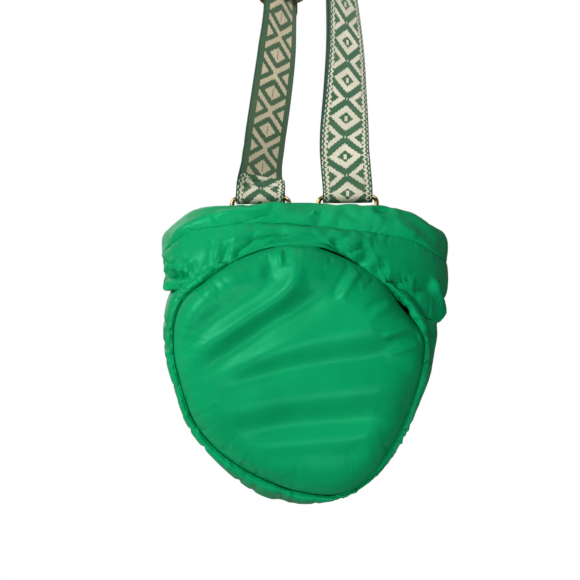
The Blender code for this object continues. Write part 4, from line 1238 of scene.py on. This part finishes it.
def make_adjuster(metal):
    """Slide bent from wire: a rounded frame before the webbing and a middle bar behind it."""
    across, out = webbing_directions(ADJUSTER_TURN, UP)
    loop = rounded_rectangle(ADJUSTER_HALF_WIDTH - 1.0, ADJUSTER_HALF_HEIGHT - 1.25, 4.0)
    frame_path = np.column_stack((loop[:, 0], np.full(len(loop), ADJUSTER_FRAME_OUT), loop[:, 1]))
    reach = ADJUSTER_HALF_WIDTH - 1.0
    bend = [
        (-reach, ADJUSTER_FRAME_OUT), (-reach, 1.6), (-reach, 0.0), (-reach + 0.3, -1.4),
        (-reach + 1.2, -2.35), (-reach + 2.4, ADJUSTER_BAR_OUT),
        (-6.0, ADJUSTER_BAR_OUT), (0.0, ADJUSTER_BAR_OUT),
    ]
    bend += [(-x, y) for x, y in bend[-2::-1]]
    bar_path = [(x, y, 0.0) for x, y in spline(bend, np.linspace(0.0, len(bend) - 1.0, 70))]
    points, faces = joined([
        tube(frame_path, 1.0, 14),
        tube(bar_path, 0.7, 12, closed=False, up=UP),
    ])
    origin = np.array((STRAIGHT_RUN_X, STRAP_Y, ADJUSTER_Z))
    placed = origin + points[:, :1] * across + points[:, 1:2] * out + points[:, 2:] * UP
    wire = (placed, faces)
    add_piece("strap_adjuster_wire", [wire], "adjuster", metal, ["strap_adjuster"])


# ---- cloth inside the bag and round the rings --------------------------------------------------
def make_lining(material):
    """Lining: an open-topped bag of thin cloth with soft upright wrinkles."""
    turn = np.linspace(0.0, 2.0 * math.pi, 120, endpoint=False)
    levels = spline(LINING_LEVELS, np.linspace(0.0, len(LINING_LEVELS) - 1.0, 44))

    def ring(level, inset, lift):
        z, centre_x, half_width, centre_y, half_depth = level
        wrinkle = 0.45 * np.sin(9.0 * turn + 0.05 * z) * np.sin(4.0 * turn + 0.11 * z) - 0.45
        x = centre_x + (half_width - inset + wrinkle) * signed_power(np.sin(turn), 0.65)
        y = centre_y - (half_depth - inset + wrinkle) * signed_power(np.cos(turn), 0.65)
        return np.column_stack((x, y, np.full(len(turn), z + lift)))

    rings = [ring(level, 0.0, 0.0) for level in levels]
    rings += [ring(level, LINING_WALL, 0.0) for level in levels[:0:-1]]
    rings.append(ring(levels[0], LINING_WALL, LINING_WALL))
    add_piece("lining_cloth", [loft(rings)], "bag", material, ["lining_bag"], sharp=60.0)


def make_bindings(material):
    """Bound raw edges inside each panel seam: a folded tape with a row of stitches."""
    outline = spline(FACE_OUTLINE, np.linspace(0.0, len(FACE_OUTLINE), 220, endpoint=False), closed=True)
    along = unit(np.roll(outline, -1, axis=0) - np.roll(outline, 1, axis=0))
    inward = np.column_stack((along[:, 1], -along[:, 0]))
    section = rounded_rectangle(1.9, 0.75, 0.5, 4)
    for side, seam_y, sign in (("face", SEAM_FRONT_Y, 1.0), ("back", SEAM_BACK_Y, -1.0)):
        flat = outline[:, None] + inward[:, None] * (BINDING_INSET + section[None, :, :1])
        depth = np.broadcast_to(seam_y + sign * (GAP + BINDING_RISE + section[:, 1]), flat.shape[:2])
        grid = np.stack((flat[..., 0], depth, flat[..., 1]), axis=-1)
        solids = [(grid.reshape(-1, 3), grid_faces(*grid.shape[:2], wrap=True, ring=True))]
        seam = outline + inward * BINDING_STITCH_INSET
        for start, end in zip(seam[::2], np.roll(seam, -1, axis=0)[::2]):
            y = seam_y + sign * (GAP + 2.0 * BINDING_RISE)
            solids += stitch_row((start[0], y, start[1]), (end[0], y, end[1]), (0.0, sign, 0.0), 1.5, 1.6)
        node = f"{side}_seam_binding"
        add_piece(f"{side}_binding_tape", solids, "bag", material, [node], sharp=60.0)


def make_ring_tabs(material, thread):
    """Cloth loops sewn to the zip tape and folded round the rings' lower wires."""
    foot_z = ZIP_Z + 0.6
    turn = np.linspace(0.0, 2.0 * math.pi, TAB_SIDES, endpoint=False)
    side, up = np.cos(turn), np.sin(turn)
    to_foot = (RING_BOTTOM_Z - foot_z) / np.maximum(-up, 1e-3)
    reach = np.where(up < 0.0, np.clip(to_foot, TAB_OUTER, TAB_FOOT), TAB_OUTER)
    span = np.sin(np.radians(np.linspace(-90.0, 90.0, TAB_STATIONS)))
    edge = np.abs(np.linspace(-1.0, 1.0, TAB_STATIONS)) ** 10
    for name, sign in (("left", -1.0), ("right", 1.0)):
        stations = sign * RING_X + TAB_HALF_WIDTH * span
        outer, hole = [], []
        for x, thin in zip(stations, edge):
            crease = 0.12 * np.sin(3.0 * turn + x)
            wide = reach - 0.3 * thin - 0.12 + crease
            z = np.maximum(RING_BOTTOM_Z + up * wide, foot_z)
            place = np.full(TAB_SIDES, x)
            outer.append(np.column_stack((place, STRAP_Y + side * wide, z)))
            tight = TAB_HOLE + 0.2 * thin
            hole.append(np.column_stack((place, STRAP_Y + side * tight, RING_BOTTOM_Z + up * tight)))
        solid = between_grids(np.array(outer), np.array(hole), wrap=True)
        node = f"ring_tab_{name}"
        add_piece(f"{node}_cloth", [solid], "bag", material, [node], sharp=60.0)
        ends = [sign * RING_X + end * (TAB_HALF_WIDTH - 0.8) for end in (-1.0, 1.0)]
        solids = []
        for out in (-1.0, 1.0):
            y, z = STRAP_Y + out * TAB_STITCH_OUT, foot_z + 1.3
            solids += stitch_row((ends[0], y, z), (ends[1], y, z), (0.0, out, 0.0))
        add_piece(f"{node}_stitches", solids, "bag", thread, [])


# ---- scene -----------------------------------------------------------------------------------
def make_camera():
    """Camera level with the bag and a little to its right, turned back towards it."""
    data = bpy.data.cameras.new("camera")
    data.sensor_width = 36.0
    data.lens = CAMERA_LENS
    data.clip_start = 0.01
    camera = add_object("camera", data)
    camera.location = to_world(CAMERA_POINT)
    camera.rotation_euler = (math.radians(90.0), 0.0, math.radians(CAMERA_TURN))
    bpy.context.scene.camera = camera


def add_light(name, place, aim, size, power, spread):
    """A rectangular area light at place, pointed at aim."""
    data = bpy.data.lights.new(name, "AREA")
    data.shape = "RECTANGLE"
    data.size, data.size_y = size
    data.energy = power
    data.spread = math.radians(spread)
    light = add_object(name, data)
    light.location = to_world(place).tolist()
    target = Vector(to_world(aim).tolist())
    light.rotation_euler = (target - light.location).to_track_quat("-Z", "Y").to_euler()


def seen_white(tree, other, output):
    """Plain white where the camera sees the backdrop, and the other shader for the light it gives."""
    path = tree.nodes.new("ShaderNodeLightPath")
    white = tree.nodes.new("ShaderNodeBackground" if output == "world" else "ShaderNodeEmission")
    white.inputs["Color"].default_value = (1.0, 1.0, 1.0, 1.0)
    white.inputs["Strength"].default_value = 1.0
    mix = tree.nodes.new("ShaderNodeMixShader")
    tree.links.new(path.outputs["Is Camera Ray"], mix.inputs[0])
    tree.links.new(other.outputs[0], mix.inputs[1])
    tree.links.new(white.outputs[0], mix.inputs[2])
    target = next(node for node in tree.nodes if node.type.startswith("OUTPUT"))
    tree.links.new(mix.outputs[0], target.inputs["Surface"])


def make_stage():
    """Dim world light, a floor that the camera sees as white, and the lights."""
    world = bpy.data.worlds.new("studio")
    world.use_nodes = True
    soft = world.node_tree.nodes["Background"]
    soft.inputs["Color"].default_value = (0.95, 0.98, 1.0, 1.0)
    soft.inputs["Strength"].default_value = 0.12
    seen_white(world.node_tree, soft, "world")
    bpy.context.scene.world = world
    bpy.context.scene.view_settings.view_transform = "Standard"

    floor_z = body_box("side_strip_left")[0][2] - FLOOR_DROP
    turns = ((-1.0, -1.0), (1.0, -1.0), (1.0, 1.0), (-1.0, 1.0))
    corners = [(x * FLOOR_HALF_SIZE, y * FLOOR_HALF_SIZE, floor_z) for x, y in turns]
    mesh = bpy.data.meshes.new("floor")
    mesh.from_pydata(to_world(corners).tolist(), [], [(0, 1, 2, 3)])
    floor = add_object("floor", mesh)
    pale = Shader("pale_floor")
    mesh.materials.append(pale.finish(Base_Color=rgba(0.45, 0.45, 0.45), Roughness=0.8))
    seen_white(pale.tree, pale.surface, "floor")

    for light in LIGHTS:
        add_light(*light)


def main():
    make_camera()
    make_stage()
    nylon = shell_nylon()
    lining = plain_cloth("lining_cloth", rgba(0.004, 0.05, 0.025), rgba(0.012, 0.14, 0.07), 0.5, 0.7)
    thread = plain_cloth("sewing_thread", rgba(0.004, 0.08, 0.04), rgba(0.012, 0.20, 0.10), 0.25, 0.6)
    tape = twill_tape()
    metal = gold()
    webs = (jacquard(False), jacquard(True))
    make_panels(nylon)
    make_collar(nylon)
    make_strips(nylon)
    make_lining(lining)
    make_bindings(tape)
    make_zip(tape, metal)
    make_ring_tabs(nylon, thread)
    make_rings(metal)
    make_adjuster(metal)
    make_strap(webs, thread)


main()
